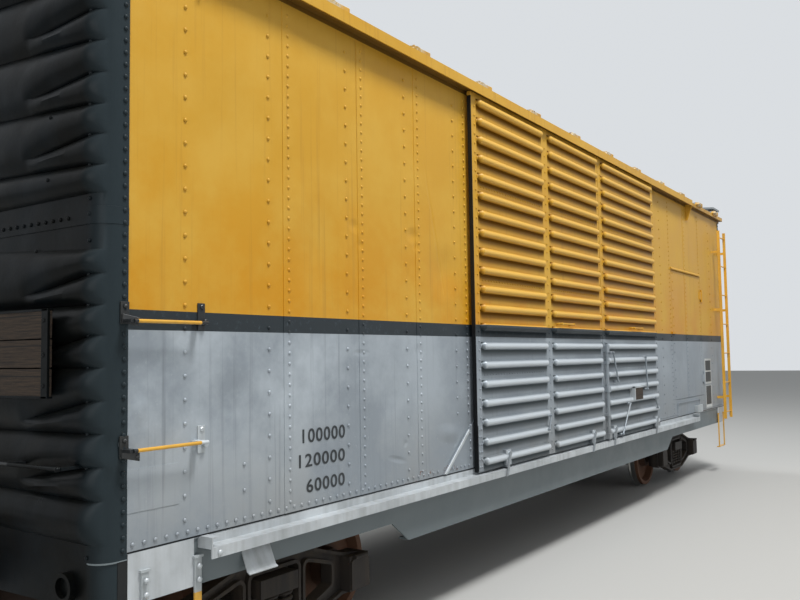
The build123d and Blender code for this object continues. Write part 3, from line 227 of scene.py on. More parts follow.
@dataclass(frozen=True)
class BandedPaint(Surface):
    """Enamel and aluminium paint, brushed on riveted steel sheet.

    To the eye: yellow above, a dark stripe and silver below, at fixed heights, so sides, doors
    and rivets share them. The yellow grows paler toward the roof, from sun fading and partly from
    painted light above. Rain has drawn fine streaks down, rust shows along the lowest rivets, and
    the sheet is wavy with old knocks. Painted shade lies on the flats under the door's ridges, a
    painted highlight with some wear on their crests, and near black painted shade on the wide
    door's leading edge and under the sheets. The load space is lined with boards.
    """

    name: str = "enamel_and_aluminium_paint_on_riveted_sheet"
    yellow_deep: str = "C68A16"
    yellow: str = "C6952A"
    yellow_pale: str = "CB9E3A"
    stripe: str = "262D31"
    stripe_worn: str = "3B444A"
    silver: str = "B2BAC0"
    silver_dull: str = "8F979E"
    silver_bright: str = "BEC5CA"
    streak_yellow: str = "A87A2A"
    streak_silver: str = "71777C"
    # Painted shade for the flats under the door's ridges.
    groove_shade_yellow: str = "6B4608"
    groove_shade_silver: str = "4E5558"
    # Painted highlight, with some wear, for the ridges' crests.
    crest_highlight_yellow: str = "DCAE4E"
    crest_highlight_silver: str = "CCD3D8"
    road_dirt: str = "665E50"
    rust: str = "6E4128"
    # Near black painted shade for the wide door's leading edge face and the line under the sheets.
    gap: str = "101214"
    lining: str = "8A7253"
    lining_dark: str = "4E3E2D"
    lining_gap: str = "1A140E"
    stripe_low: float = 2.173
    stripe_high: float = 2.275
    groove_columns: tuple[tuple[float, float], ...] = ((3.530, 4.870), (5.007, 6.347), (6.496, 8.360))
    groove_foot_z: float = 1.167
    ridge_pitch: float = 0.1605
    rivet_row_z: float = 1.122
    door_edge: float = 3.431
    sheet_foot_z: float = 1.086
    hood_z: float = 4.225
    lining_board: float = 0.065
    wave_mm: float = 700.0
    wave_depth_mm: float = 11.0
    dents: tuple[Dent, ...] = (
        Dent(1.865, 2.915, 0.075, 0.060, 6.0), Dent(1.930, 2.790, 0.050, 0.040, 4.0),
        Dent(2.607, 2.930, 0.110, 0.080, 9.0), Dent(2.640, 2.850, 0.060, 0.050, 5.0),
        Dent(2.915, 3.010, 0.030, 0.640, 4.0, -15.0), Dent(3.060, 2.690, 0.320, 0.260, 16.0),
        Dent(1.930, 2.047, 0.110, 0.030, 5.0), Dent(2.670, 2.059, 0.080, 0.070, 6.0),
        Dent(2.455, 1.382, 0.040, 0.040, 5.0), Dent(3.100, 1.400, 0.250, 0.090, -12.0, 8.0),
        Dent(2.351, 1.278, 0.150, 0.030, 6.0, 12.0), Dent(0.075, 1.774, 0.055, 0.100, -7.0),
        Dent(0.700, 3.250, 0.420, 0.550, 9.0), Dent(1.480, 2.700, 0.300, 0.420, 8.0),
        Dent(0.680, 1.750, 0.300, 0.260, 7.0), Dent(2.300, 1.750, 0.280, 0.220, 8.0))

    def build(self) -> Material:
        """Builds the node material. Returns the material."""
        material, add, place = self.begin()
        swing, depth, height = self.corners(add, place)
        station = add("Math", {0: -CORNER_X, 1: swing}, operation="SUBTRACT")
        rise = add("Math", {0: height, 1: self.groove_foot_z}, operation="SUBTRACT")
        rise = add("Math", {0: rise, 1: self.ridge_pitch}, operation="FLOORED_MODULO")
        board = add("Math", {0: height, 1: self.lining_board}, operation="PINGPONG")

        # Noise: what each reads, its repeats per metre, its detail and its roughness. The rain's
        # streaks and the boards' grain read coordinates that are already drawn out.
        rain = add("Mapping", {"Vector": place, "Scale": (22.0, 22.0, 0.5)})
        grain = add("Mapping", {"Vector": place, "Scale": (3.0, 3.0, 90.0)})
        drift, speck, streaks, figure, waves, brushed = (
            add("TexNoise", {"Vector": read, "Scale": scale, "Detail": detail, "Roughness": coarse})
            for read, scale, detail, coarse in (
                (place, 1.3, 7.0, 0.62), (place, 30.0, 9.0, 0.75), (rain, 1.0, 7.0, 0.6),
                (grain, 1.0, 5.0, 0.5), (place, 1 / (self.wave_mm * MM), 1.0, 0.5),
                (place, 90.0, 4.0, 0.5)))

        # Ramps: what each reads, where it starts and where it ends, and its value at both.
        ramp = SimpleNamespace(**{
            name: add("MapRange", {
                "Value": read, "From Min": start, "From Max": end, "To Min": first, "To Max": last})
            for name, read, start, end, first, last in (
                ("sunlit", height, 2.3, 3.3, 0.0, 1.0),
                ("patchy", drift, 0.42, 0.62, 0.0, 1.0),
                ("scratched", speck, 0.56, 0.66, 0.0, 1.0),
                ("dulled", station, 1.2, 3.6, 0.0, 0.55),
                ("streaked", streaks, 0.56, 0.74, 0.0, 0.55),
                ("flecked", speck, 0.6, 0.72, 0.0, 0.5),
                ("low_down", height, 1.75, 1.06, 0.0, 0.45),
                ("dirty", drift, 0.40, 0.62, 0.0, 1.0),
                ("flat", depth, 1.540, 1.516, 0.0, 1.0),
                ("sheltered", rise, 0.025, 0.075, 0.12, 1.0),
                ("crest", depth, 1.538, 1.552, 0.0, 1.0),
                ("rust_risk", station, 1.4, 2.6, 0.05, 0.20),
                ("rough", drift, 0.3, 0.7, 0.38, 0.56))})

        # Tests: what each reads, its bound, and how far from the bound a COMPARE still holds.
        where = SimpleNamespace(**{
            name: add("Math", {0: read, 1: bound, 2: reach}, operation=test)
            for name, read, test, bound, reach in (
                ("above", height, "GREATER_THAN", self.stripe_high, 0.0),
                ("below", height, "LESS_THAN", self.stripe_low, 0.0),
                ("door_face", depth, "GREATER_THAN", 1.5105, 0.0),
                ("door_only", depth, "LESS_THAN", 1.553, 0.0),
                ("sheet_only", depth, "LESS_THAN", 1.475, 0.0),
                ("lowest_row", height, "COMPARE", self.rivet_row_z, 0.035),
                ("before_door", station, "LESS_THAN", 3.2, 0.0),
                ("door_edge", station, "COMPARE", self.door_edge, 0.017),
                ("off_sheet", depth, "GREATER_THAN", 1.4635, 0.0),
                ("under_hood", height, "LESS_THAN", self.hood_z, 0.0),
                ("sheet_foot", height, "COMPARE", self.sheet_foot_z, 0.0045),
                ("indoors", depth, "LESS_THAN", 1.372, 0.0),
                ("board_gap", board, "LESS_THAN", 0.003, 0.0))})

        # Painted shade on the flats between the door's ridges, darkest just under each ridge, and a painted
        # highlight, with some wear, on their crests.
        columns = 0.0
        for first, last in self.groove_columns:
            column = add("Math", {0: station, 1: (first + last) / 2, 2: (last - first) / 2},
                         operation="COMPARE")
            columns = add("Math", {0: columns, 1: column}, operation="ADD")
        groove = self.overlap(add, ramp.flat, where.door_face, columns, ramp.sheltered)
        crest = self.overlap(add, ramp.crest, columns, where.door_only)

        # Rust grows from specks along the lowest rivets, worst before the doorway. Near black painted
        # shade lies on the wide door's leading edge face and along the line under the sheets.
        risk = self.overlap(add, where.lowest_row, ramp.rust_risk, where.sheet_only, where.before_door)
        ripe = add("Math", {0: speck, 1: risk}, operation="ADD")
        rusted = add("MapRange", {"Value": ripe, "From Min": 0.76, "From Max": 0.82, "To Max": 0.85})
        lead = self.overlap(add, where.door_edge, where.off_sheet, where.under_hood)
        foot = self.overlap(add, where.sheet_foot, where.sheet_only)
        painted_edge_shade = add("Math", {0: lead, 1: foot}, operation="MAXIMUM")

        # Paler yellow toward the roof: sun fading, and partly painted light from above.
        yellow = self.lay(add, self.yellow_deep, (
            (ramp.sunlit, self.yellow), (ramp.patchy, self.yellow_pale)))
        silver = self.lay(add, self.silver_dull, (
            (ramp.patchy, self.silver), (ramp.dulled, self.silver_dull)))
        wood = self.lay(add, self.lining_dark, ((figure, self.lining), (where.board_gap, self.lining_gap)))
        colour = self.lay(add, self.stripe, (
            (ramp.scratched, self.stripe_worn), (where.above, yellow), (where.below, silver),
            (self.overlap(add, ramp.streaked, where.above), self.streak_yellow),
            (self.overlap(add, ramp.streaked, where.below), self.streak_silver),
            (self.overlap(add, ramp.flecked, where.below), self.silver_bright),
            (self.overlap(add, ramp.low_down, ramp.dirty), self.road_dirt),
            (self.overlap(add, groove, where.above), self.groove_shade_yellow),
            (self.overlap(add, groove, where.below), self.groove_shade_silver),
            (self.overlap(add, crest, where.above), self.crest_highlight_yellow),
            (self.overlap(add, crest, where.below), self.crest_highlight_silver),
            (rusted, self.rust), (painted_edge_shade, self.gap), (where.indoors, wood)))

        # The sheet's shape, in metres of height.
        shape = add("Math", {0: waves, 1: self.wave_depth_mm * MM}, operation="MULTIPLY")
        for dent in self.dents:
            oval = add("Mapping", {
                "Vector": place, "Location": spot(dent.station, SIDE_Y, dent.z),
                "Rotation": (0.0, math.radians(dent.lean_degrees), 0.0),
                "Scale": (dent.half_width, 1.0, dent.half_height)}, vector_type="TEXTURE")
            away = add("VectorMath", {0: oval}, out="Value", operation="LENGTH")
            knock = add("MapRange", {"Value": away, "To Min": -dent.depth_mm * MM, "To Max": 0.0},
                        interpolation_type="SMOOTHSTEP")
            shape = add("Math", {0: shape, 1: knock}, operation="ADD")
        sheet = add("Bump", {"Height": shape, "Distance": 1.0, "Strength": 1.0})
        skin = add("Bump", {"Height": brushed, "Distance": 0.5 * MM, "Strength": 0.6, "Normal": sheet})
        # The specular level is cut where painted shade lies on the door's flats.
        return self.close(material, {
            "Base Color": colour, "Roughness": ramp.rough, "Normal": skin,
            "Metallic": add("Math", {0: where.below, 1: 0.3}, operation="MULTIPLY"),
            "Specular IOR Level": add("MapRange", {"Value": groove, "To Min": 0.3, "To Max": 0.02})})


@dataclass(frozen=True)
class Finish(Surface):
    """Paint or bare metal whose wear hardly shows a pattern.

    To the eye: two tones that drift over a hand's width, dirt in soft clouds that run down a
    little, dust on what faces up, rust where it is poor, and a fine grain that breaks the gloss.
    A zone is a box with another paint: its colour, and the lowest and highest of its corner
    coordinates.
    """

    base: str
    tone: str
    dirt: str
    dirt_amount: float = 0.35
    dust: str = "6B5F4E"
    dust_amount: float = 0.0
    rust: str = "6B3A1E"
    rust_amount: float = 0.0
    metallic: float = 0.0
    roughness: float = 0.5
    grain_mm: float = 12.0
    grain_depth_mm: float = 0.5
    drift_mm: float = 350.0
    wave_depth_mm: float = 0.01
    gloss: float = 0.5
    # Optional painted sheen, lighter than the paint, on the rounded corners.
    corner_sheen: Optional[str] = None
    zones: tuple[tuple[str, Point, Point], ...] = ()

    def build(self) -> Material:
        """Builds the node material. Returns the material."""
        material, add, place = self.begin()
        corner = self.corners(add, place)

        # Noise: what each reads, its repeats per metre, its detail and its roughness.
        runs = add("Mapping", {"Vector": place, "Scale": (18.0, 18.0, 0.9)})
        drift, streaks, clouds, spots, waves, grain = (
            add("TexNoise", {"Vector": read, "Scale": scale, "Detail": detail, "Roughness": coarse})
            for read, scale, detail, coarse in (
                (place, 1 / (self.drift_mm * MM), 6.0, 0.5), (runs, 1.0, 6.0, 0.5), (place, 2.3, 8.0, 0.65),
                (place, 26.0, 9.0, 0.7), (place, 4.0, 1.5, 0.5), (place, 1 / (self.grain_mm * MM), 3.0, 0.5)))

        # Ramps: what each reads, where it starts and where it ends, and its value at both.
        upward = add("SeparateXYZ", {"Vector": add("NewGeometry", out="Normal")}, out="Z")
        bare = 0.80 - 0.3 * self.rust_amount
        toned, soiled, lying, rusted, rough = (
            add("MapRange", {
                "Value": read, "From Min": start, "From Max": end, "To Min": first, "To Max": last})
            for read, start, end, first, last in (
                (drift, 0.38, 0.64, 0.0, 1.0),
                (self.overlap(add, streaks, clouds), 0.2, 0.4, 0.0, self.dirt_amount),
                (upward, 0.35, 0.95, 0.0, self.dust_amount),
                (spots, bare, bare + 0.05, 0.0, 1.0),
                (clouds, 0.3, 0.7, self.roughness - 0.08, self.roughness + 0.1)))

        coats = [(toned, self.tone), (soiled, self.dirt)]
        # Painted sheen lightens the rounded corners.
        if self.corner_sheen:
            lit_corner = add("MapRange", {
                "Value": corner[1], "From Min": 1.33, "From Max": 1.43, "To Max": 0.9})
            coats.append((lit_corner, self.corner_sheen))
        for paint, low, high in self.zones:
            inside = [
                add("Math", {0: axis, 1: (first + last) / 2, 2: (last - first) / 2}, operation="COMPARE")
                for axis, first, last in zip(corner, low, high)]
            coats.append((self.overlap(add, *inside), paint))
        coats += [(self.overlap(add, lying, clouds), self.dust), (rusted, self.rust)]

        sheet = add("Bump", {"Height": waves, "Distance": self.wave_depth_mm * MM, "Strength": 1.0})
        skin = add("Bump", {
            "Height": grain, "Distance": self.grain_depth_mm * MM, "Strength": 0.7, "Normal": sheet})
        return self.close(material, {
            "Base Color": self.lay(add, self.base, coats), "Roughness": rough, "Normal": skin,
            "Metallic": self.metallic, "Specular IOR Level": self.gloss})


@dataclass(frozen=True)
class RoofCoat(Surface):
    """Galvanized steel sheet with an enamelled edge.

    To the eye: dull zinc grey that has gone chalky and brown in patches, a yellow edge to match
    the side, pale and rusty scars where the seam caps end, and painted shade, a darker yellow, under
    the eave.
    """

    name: str = "galvanized_sheet_with_enamelled_edge"
    zinc: str = "8D9295"
    zinc_pale: str = "A9ADAE"
    brown: str = "6A5D4C"
    edge: str = "C99A3A"
    edge_dark: str = "A97E30"
    scar: str = "C9BFA6"
    rust: str = "7A4E2C"
    # Painted shade under the eave.
    soffit_shade: str = "7A5A1E"
    edge_y: float = 1.497
    wall_y: float = 1.400
    eave_z: float = 4.275
    cap_end_y: float = 1.513
    seam_pitch: float = 1.03

    def build(self) -> Material:
        """Builds the node material. Returns the material."""
        material, add, place = self.begin()
        along, across, height = add("SeparateXYZ", {"Vector": place}).node.outputs
        depth = add("Math", {0: across}, operation="ABSOLUTE")
        seam = add("Math", {0: along, 1: self.seam_pitch / 2}, operation="SUBTRACT")
        away = add("Math", {0: seam, 1: self.seam_pitch / 2}, operation="PINGPONG")

        # Noise: its repeats per metre, its detail and its roughness.
        drift, speck = (
            add("TexNoise", {"Vector": place, "Scale": scale, "Detail": detail, "Roughness": coarse})
            for scale, detail, coarse in ((1.6, 8.0, 0.65), (24.0, 9.0, 0.7)))

        # Ramps: what each reads, where it starts and where it ends, and its value at both.
        patchy, browned, on_cap, scarred, rusty, rough = (
            add("MapRange", {
                "Value": read, "From Min": start, "From Max": end, "To Min": first, "To Max": last})
            for read, start, end, first, last in (
                (drift, 0.4, 0.62, 0.0, 1.0), (speck, 0.52, 0.68, 0.0, 0.7), (away, 0.13, 0.06, 0.0, 1.0),
                (speck, 0.44, 0.52, 0.0, 1.0), (speck, 0.56, 0.62, 0.0, 1.0), (drift, 0.3, 0.7, 0.42, 0.62)))
        edged, outside, at_cap_end = (
            add("Math", {0: depth, 1: bound}, operation="GREATER_THAN")
            for bound in (self.edge_y, self.wall_y, self.cap_end_y))
        below_eave = add("Math", {0: height, 1: self.eave_z}, operation="LESS_THAN")
        worn = self.overlap(add, on_cap, at_cap_end)
        faded = self.lay(add, self.edge, ((patchy, self.edge_dark),))
        # The last coat is painted shade under the eave.
        colour = self.lay(add, self.zinc, (
            (patchy, self.zinc_pale), (browned, self.brown), (edged, faded),
            (self.overlap(add, worn, scarred), self.scar), (self.overlap(add, worn, rusty), self.rust),
            (self.overlap(add, below_eave, outside), self.soffit_shade)))
        return self.close(material, {
            "Base Color": colour, "Roughness": rough,
            "Metallic": add("Math", {0: 0.45, 1: edged}, operation="SUBTRACT", use_clamp=True),
            "Normal": add("Bump", {"Height": drift, "Distance": 6 * MM, "Strength": 1.0})})


@dataclass(frozen=True)
class Grating(Surface):
    """Galvanized steel, punched and pressed into a walkway grid.

    To the eye: a bright grid with holes about 30 mm apart, filled with near black painted shade,
    drawn a little coarser than the real punching so that it shows.
    """

    name: str = "galvanized_steel_grating"
    zinc: str = "9DA2A4"
    dull: str = "74787A"
    shaded_opening: str = "1B1C1C"
    drift_mm: float = 200.0
    pitch_mm: float = 42.0
    bar_mm: float = 12.0

    def build(self) -> Material:
        """Builds the node material. Returns the material."""
        material, add, place = self.begin()
        along, across, _ = add("SeparateXYZ", {"Vector": place}).node.outputs
        drift = add("TexNoise", {"Vector": place, "Scale": 1 / (self.drift_mm * MM), "Detail": 6.0})
        upward = add("SeparateXYZ", {"Vector": add("NewGeometry", out="Normal")}, out="Z")
        level = add("Math", {0: upward}, operation="ABSOLUTE")
        clear = [add("Math", {0: level, 1: 0.9}, operation="GREATER_THAN")]
        for axis in (along, across):
            away = add("Math", {0: axis, 1: self.pitch_mm / 2 * MM}, operation="PINGPONG")
            clear.append(add("Math", {0: away, 1: self.bar_mm / 2 * MM}, operation="GREATER_THAN"))
        # Holes in level faces, filled with painted shade.
        shaded_opening = self.overlap(add, *clear)
        return self.close(material, {
            "Base Color": self.lay(add, self.dull, ((drift, self.zinc), (shaded_opening, self.shaded_opening))),
            "Normal": add("Bump", {"Height": shaded_opening, "Distance": -3 * MM, "Strength": 1.0}),
            "Roughness": 0.5, "Metallic": 0.4})


@dataclass(frozen=True)
class WheelSteel(Surface):
    """Wrought steel wheels and axles.

    To the eye: brown rust with oily dirt toward the hub, and a tread and flange that the rails
    have rubbed bright.
    """

    name: str = "wrought_steel_with_rubbed_tread"
    rust: str = "53392A"
    rust_pale: str = "6E4B34"
    oil: str = "211B16"
    bright: str = "8F8F8D"
    drift_per_metre: float = 14.0
    truck_x: float = 4.65
    half_wheelbase: float = 0.838
    axle_z: float = 0.444
    tread_radius: float = 0.4165

    def build(self) -> Material:
        """Builds the node material. Returns the material."""
        material, add, place = self.begin()
        reach, _, height = add("SeparateXYZ", {"Vector": place}).node.outputs
        for centre in (self.truck_x, self.half_wheelbase):
            reach = add("Math", {0: reach}, operation="ABSOLUTE")
            reach = add("Math", {0: reach, 1: centre}, operation="SUBTRACT")
        rise = add("Math", {0: height, 1: self.axle_z}, operation="SUBTRACT")
        spoke = add("CombineXYZ", {"X": reach, "Z": rise})
        radius = add("VectorMath", {0: spoke}, out="Value", operation="LENGTH")
        drift = add("TexNoise", {
            "Vector": place, "Scale": self.drift_per_metre, "Detail": 8.0, "Roughness": 0.7})
        oily = add("MapRange", {"Value": radius, "From Min": 0.22, "From Max": 0.1, "To Max": 0.85})
        rubbed = add("Math", {0: radius, 1: self.tread_radius}, operation="GREATER_THAN")
        return self.close(material, {
            "Base Color": self.lay(add, self.rust, (
                (drift, self.rust_pale), (oily, self.oil), (rubbed, self.bright))),
            "Metallic": add("MapRange", {"Value": rubbed, "To Min": 0.15, "To Max": 0.9}),
            "Roughness": add("MapRange", {"Value": rubbed, "To Min": 0.75, "To Max": 0.3}),
            "Normal": add("Bump", {"Height": drift, "Distance": 0.8 * MM, "Strength": 0.8})})


@dataclass(frozen=True)
class Timber(Surface):
    """Sawn planks left to the weather.

    To the eye: brown and grey grain along the plank with long cracks, and a dark gap between
    each two planks.
    """

    pale: str
    dark: str
    gap: str = "17130F"
    plank_mm: float = 150.0
    gap_mm: float = 3.0
    grain_mm: float = 9.0
    stacked: bool = False

    def build(self) -> Material:
        """Builds the node material. Returns the material."""
        material, add, place = self.begin()
        along, _, height = add("SeparateXYZ", {"Vector": place}).node.outputs
        fine = 1 / (self.grain_mm * MM)
        stretch = add("Mapping", {"Vector": place, "Scale": (fine, fine * 0.04, fine)})
        grain = add("TexNoise", {"Vector": stretch, "Scale": 1.0, "Detail": 7.0, "Roughness": 0.72})
        tones, cracked = (
            add("MapRange", {"Value": grain, "From Min": 0.36, "From Max": end}) for end in (0.64, 0.30))
        repeat = add("Math", {0: height if self.stacked else along, 1: self.plank_mm / 2 * MM},
                     operation="PINGPONG")
        apart = add("Math", {0: repeat, 1: self.gap_mm * MM}, operation="LESS_THAN")
        return self.close(material, {
            "Base Color": self.lay(add, self.dark, (
                (tones, self.pale), (cracked, self.gap), (apart, self.gap))),
            "Normal": add("Bump", {"Height": grain, "Distance": 2.5 * MM, "Strength": 0.9}),
            "Roughness": 0.85})


def made(surface: Surface) -> Material:
    """Gives the palette a field whose default is the built surface."""
    return field(default_factory=surface.build)


@dataclass
class Palette:
    """Every material of the car, built once."""

    banded: Material = made(BandedPaint())
    # The bluish drift of the end's second tone and its lighter corner are painted sky sheen on the black
    # cement.
    end: Material = made(Finish(
        "black_car_cement_on_pressed_steel", "0A0C0C", "10161A", "12110D", 0.3, dust="33322C",
        dust_amount=0.35, roughness=0.34, grain_mm=30, grain_depth_mm=0.8, wave_depth_mm=7.0, gloss=0.10,
        corner_sheen="2C3539", zones=(("7C8588", (6.0, 1.35, 1.050), (6.32, 1.47, 1.0600)),)))
    roof: Material = made(RoofCoat())
    grating: Material = made(Grating())
    sill: Material = made(Finish(
        "aluminium_paint_on_rolled_steel", "C4C9CC", "B0B5B8", "72726C", 0.35, metallic=0.2,
        roughness=0.45, wave_depth_mm=3.0, zones=(
            # Painted shade on the sill's web under the door track's lip.
            ("687174", (-6.0, 1.300, 0.600), (6.0, 1.4400, 1.072)),
            ("0E1112", (6.147, 1.000, 0.300), (6.400, 1.600, 1.083)))))
    grab: Material = made(Finish(
        "yellow_enamel_on_round_bar", "DDA83C", "D09A2E", "8A7848", 0.25, rust_amount=0.1,
        roughness=0.42, grain_mm=20, grain_depth_mm=0.3, zones=(
            ("1A1D1F", (6.156, 0.0, 0.5), (6.7, 1.6, 3.0)),
            ("1A1D1F", (5.690, 1.4, 2.1), (5.750, 1.6, 2.4)),
            ("C4CACD", (5.690, 1.4, 1.4), (5.750, 1.6, 1.7)),
            ("A9AFB1", (5.600, 1.3, 0.80), (6.150, 1.6, 1.0)))))
    black: Material = made(Finish(
        "black_enamel_on_forged_steel", "16191B", "212527", "3A352C", 0.3, roughness=0.4))
    # Fresh aluminium paint on bolts and feet, also used as a painted highlight on the gusset's slanted edge.
    bright: Material = made(Finish(
        "fresh_aluminium_paint_on_forged_steel", "C4CACD", "AEB4B7", "7C7B72", 0.3, metallic=0.35,
        roughness=0.38))
    figures: Material = made(Finish("stencilled_black_paint", "1F2325", "2B3033", "4A4C4B", 0.3))
    card: Material = made(Finish("white_enamel_on_plate", "C9CCCB", "B7BAB8", "7D7A70"))
    underframe: Material = made(Finish(
        "black_paint_under_road_dust", "1B1916", "292520", "494034", 0.6, dust_amount=0.6,
        roughness=0.75, grain_depth_mm=0.8))
    # Dark cast steel with oily grime, made darker still as painted shade under the car.
    truck: Material = made(Finish(
        "cast_steel_with_oily_grime", "1F1B18", "2D2722", "4A4034", 0.6, dust_amount=0.7,
        rust_amount=0.45, metallic=0.2, roughness=0.7, grain_depth_mm=1.0))
    wheel: Material = made(WheelSteel())
    coupler: Material = made(Finish(
        "bare_cast_steel_with_rust", "5A3A27", "6E4A32", "33271E", 0.5, rust_amount=0.7,
        metallic=0.3, roughness=0.7, grain_depth_mm=1.0))
    floor: Material = made(Timber("worn_oak_plank", "8A7253", "5C4833"))
    board: Material = made(Timber("weathered_softwood_board", "46382B", "1C1611", stacked=True))


class Workshop:
    """Modelling steps shared by every sub-assembly. Each leaves its object at the origin."""

    @staticmethod
    def deselect() -> None:
        """Leaves object mode with nothing selected."""
        if bpy.context.object and bpy.context.object.mode != "OBJECT":
            bpy.ops.object.mode_set(mode="OBJECT")
        bpy.ops.object.select_all(action="DESELECT")

    @classmethod
    def pick(cls, piece: Piece) -> None:
        """Makes one object the only one selected, and active."""
        cls.deselect()
        piece.select_set(True)
        bpy.context.view_layer.objects.active = piece

    @classmethod
    @contextmanager
    def editing(cls, piece: Piece, choose: Callable = lambda face: True) -> Iterator[None]:
        """Opens edit mode with some of a piece's faces selected.

        Args:
            piece: The piece to shape.
            choose: Says of each face, by its place or normal, whether it is selected.
        """
        cls.pick(piece)
        bpy.ops.object.mode_set(mode="EDIT")
        bpy.ops.mesh.select_mode(type="FACE")
        bpy.ops.mesh.select_all(action="DESELECT")
        bpy.ops.object.mode_set(mode="OBJECT")
        for face in piece.data.polygons:
            face.select = choose(face)
        bpy.ops.object.mode_set(mode="EDIT")
        yield
        bpy.ops.object.mode_set(mode="OBJECT")

    @classmethod
    def modify(cls, piece: Piece, kind: str, **settings) -> Piece:
        """Applies a modifier to a piece.

        Args:
            piece: The piece.
            kind: The modifier's type.
            **settings: The modifier's properties.

        Returns:
            The same piece.
        """
        cls.pick(piece)
        modifier = piece.modifiers.new("step", kind)
        for name, value in settings.items():
            setattr(modifier, name, value)
        bpy.ops.object.modifier_apply(modifier="step")
        return piece

    @staticmethod
    def settle(piece: Piece, name: str) -> Piece:
        """Names the active piece and moves its place into its mesh. Returns it."""
        piece.name = name
        bpy.ops.object.transform_apply(location=True, rotation=True, scale=True)
        return piece

    @classmethod
    def block(cls, name: str, low: Point, high: Point, bevel: float = 0.002) -> Piece:
        """Models a block between two corners, with its edges broken.

        Args:
            name: Name of the piece.
            low: Lowest corner.
            high: Highest corner.
            bevel: Width of the broken edges.

        Returns:
            The block.
        """
        cls.deselect()
        middle = [(a + b) / 2 for a, b in zip(low, high)]
        bpy.ops.mesh.primitive_cube_add(size=1, location=middle)
        piece = bpy.context.object
        piece.scale = [b - a for a, b in zip(low, high)]
        cls.settle(piece, name)
        with cls.editing(piece):
            bpy.ops.mesh.bevel(offset=bevel, segments=2, affect="EDGES")
        return piece

    @classmethod
    def panel(cls, name: str, area: Area, front_y: float, back_y: float, bevel: float) -> Piece:
        """Models a block on the near side.

        Args:
            name: Name of the piece.
            area: Its stations and heights.
            front_y: Y of its face.
            back_y: Y of its back.
            bevel: Width of the broken edges.

        Returns:
            The block.
        """
        left, right, low, high = area
        return cls.block(name, spot(left, front_y, low), spot(right, back_y, high), bevel)

    @classmethod
    def plate(cls, name: str, corners: Sequence[tuple[float, float]], back_y: float, gauge: float) -> Piece:
        """Models a flat plate on the near side from its outline.

        Args:
            name: Name of the piece.
            corners: Station and height of its four corners, in order.
            back_y: Y of its back.
            gauge: Its thickness, toward the viewer.

        Returns:
            The plate.
        """
        cls.deselect()
        bpy.ops.mesh.primitive_plane_add(size=1)
        piece = bpy.context.object
        for index, (station, z) in zip((0, 1, 3, 2), corners):
            piece.data.vertices[index].co = spot(station, back_y, z)
        piece.name = name
        with cls.editing(piece):
            bpy.ops.mesh.extrude_region_move(TRANSFORM_OT_translate={"value": (0, -gauge, 0)})
            bpy.ops.mesh.select_all(action="SELECT")
            bpy.ops.mesh.normals_make_consistent(inside=False)
            bpy.ops.mesh.bevel(offset=min(gauge * 0.3, 0.002), segments=1, affect="EDGES")
        return piece

    @classmethod
    def bar(cls, name: str, start: Point, end: Point, radius: float, sides: int = 12) -> Piece:
        """Models a round bar between two points, with its ends broken.

        Args:
            name: Name of the piece.
            start: Middle of one end.
            end: Middle of the other end.
            radius: Radius of the bar.
            sides: Number of faces round it.

        Returns:
            The bar.
        """
        cls.deselect()
        first, last = Vector(start), Vector(end)
        along = last - first
        turn = along.to_track_quat("Z", "Y").to_euler()
        bpy.ops.mesh.primitive_cylinder_add(
            vertices=sides, radius=radius, depth=along.length, location=(first + last) / 2, rotation=turn)
        piece = cls.settle(bpy.context.object, name)
        along.normalize()
        with cls.editing(piece, lambda face: abs(face.normal.dot(along)) > 0.9):
            bpy.ops.mesh.bevel(offset=radius * 0.15, segments=1, affect="EDGES")
        bpy.ops.object.shade_smooth_by_angle(angle=math.radians(40))
        return piece

    @classmethod
    def repeat(cls, piece: Piece, step: Point, count: int) -> Piece:
        """Repeats a piece along a line, within its own mesh. Returns it."""
        return cls.modify(piece, "ARRAY", use_relative_offset=False, use_constant_offset=True,
                          constant_offset_displace=step, count=count)

    @classmethod
    def join(cls, name: str, pieces: Sequence[Piece]) -> Piece:
        """Joins one or more meshes into one piece, under a new name. Returns it."""
        cls.pick(pieces[0])
        for piece in pieces:
            piece.select_set(True)
        if len(pieces) > 1:
            bpy.ops.object.join()
        pieces[0].name = name
        return pieces[0]

    @staticmethod
    def copy(name: str, piece: Piece, move: Matrix = TURN) -> Piece:
        """Copies a piece with its own mesh, moved or turned to the other side. Returns the copy."""
        twin = piece.copy()
        twin.name = name
        twin.data = piece.data.copy()
        bpy.context.scene.collection.objects.link(twin)
        twin.data.transform(move)
        return twin

    @staticmethod
    def dress(piece: Piece, material: Material, slot: str, body: str = "car_body") -> Piece:
        """Gives a piece its material and the body it rides on.

        Args:
            piece: The finished piece.
            material: Its material.
            slot: Name of the record's material slot; not used.
            body: Name of the CAD body.

        Returns:
            The same piece.
        """
        piece.data.materials.clear()
        piece.data.materials.append(material)
        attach(piece, body)
        LOG.info("%s rides on %s", piece.name, body)
        return piece

    @classmethod
    def pair(cls, piece: Piece, material: Material, slot: str) -> Piece:
        """Dresses a near or left piece, and a copy of it turned to the other side. Returns the first."""
        side, rest = piece.name.split("_", 1)
        for each in (piece, cls.copy(f"{OPPOSITE[side]}_{rest}", piece)):
            cls.dress(each, material, slot)
        return piece


class Facing(Enum):
    """The way a wall faces, as its outward normal."""

    NEAR = (0, -1, 0)
    LEFT = (-1, 0, 0)


class Head(Enum):
    """The shape of a fastener's head, as the number of faces round it."""

    DOME = 8
    NUT = 6


@dataclass(frozen=True)
class Row:
    """A straight row of fasteners. One alone is a row of one."""

    start: Point
    step: Point = (0.0, 0.0, 0.0)
    count: int = 1


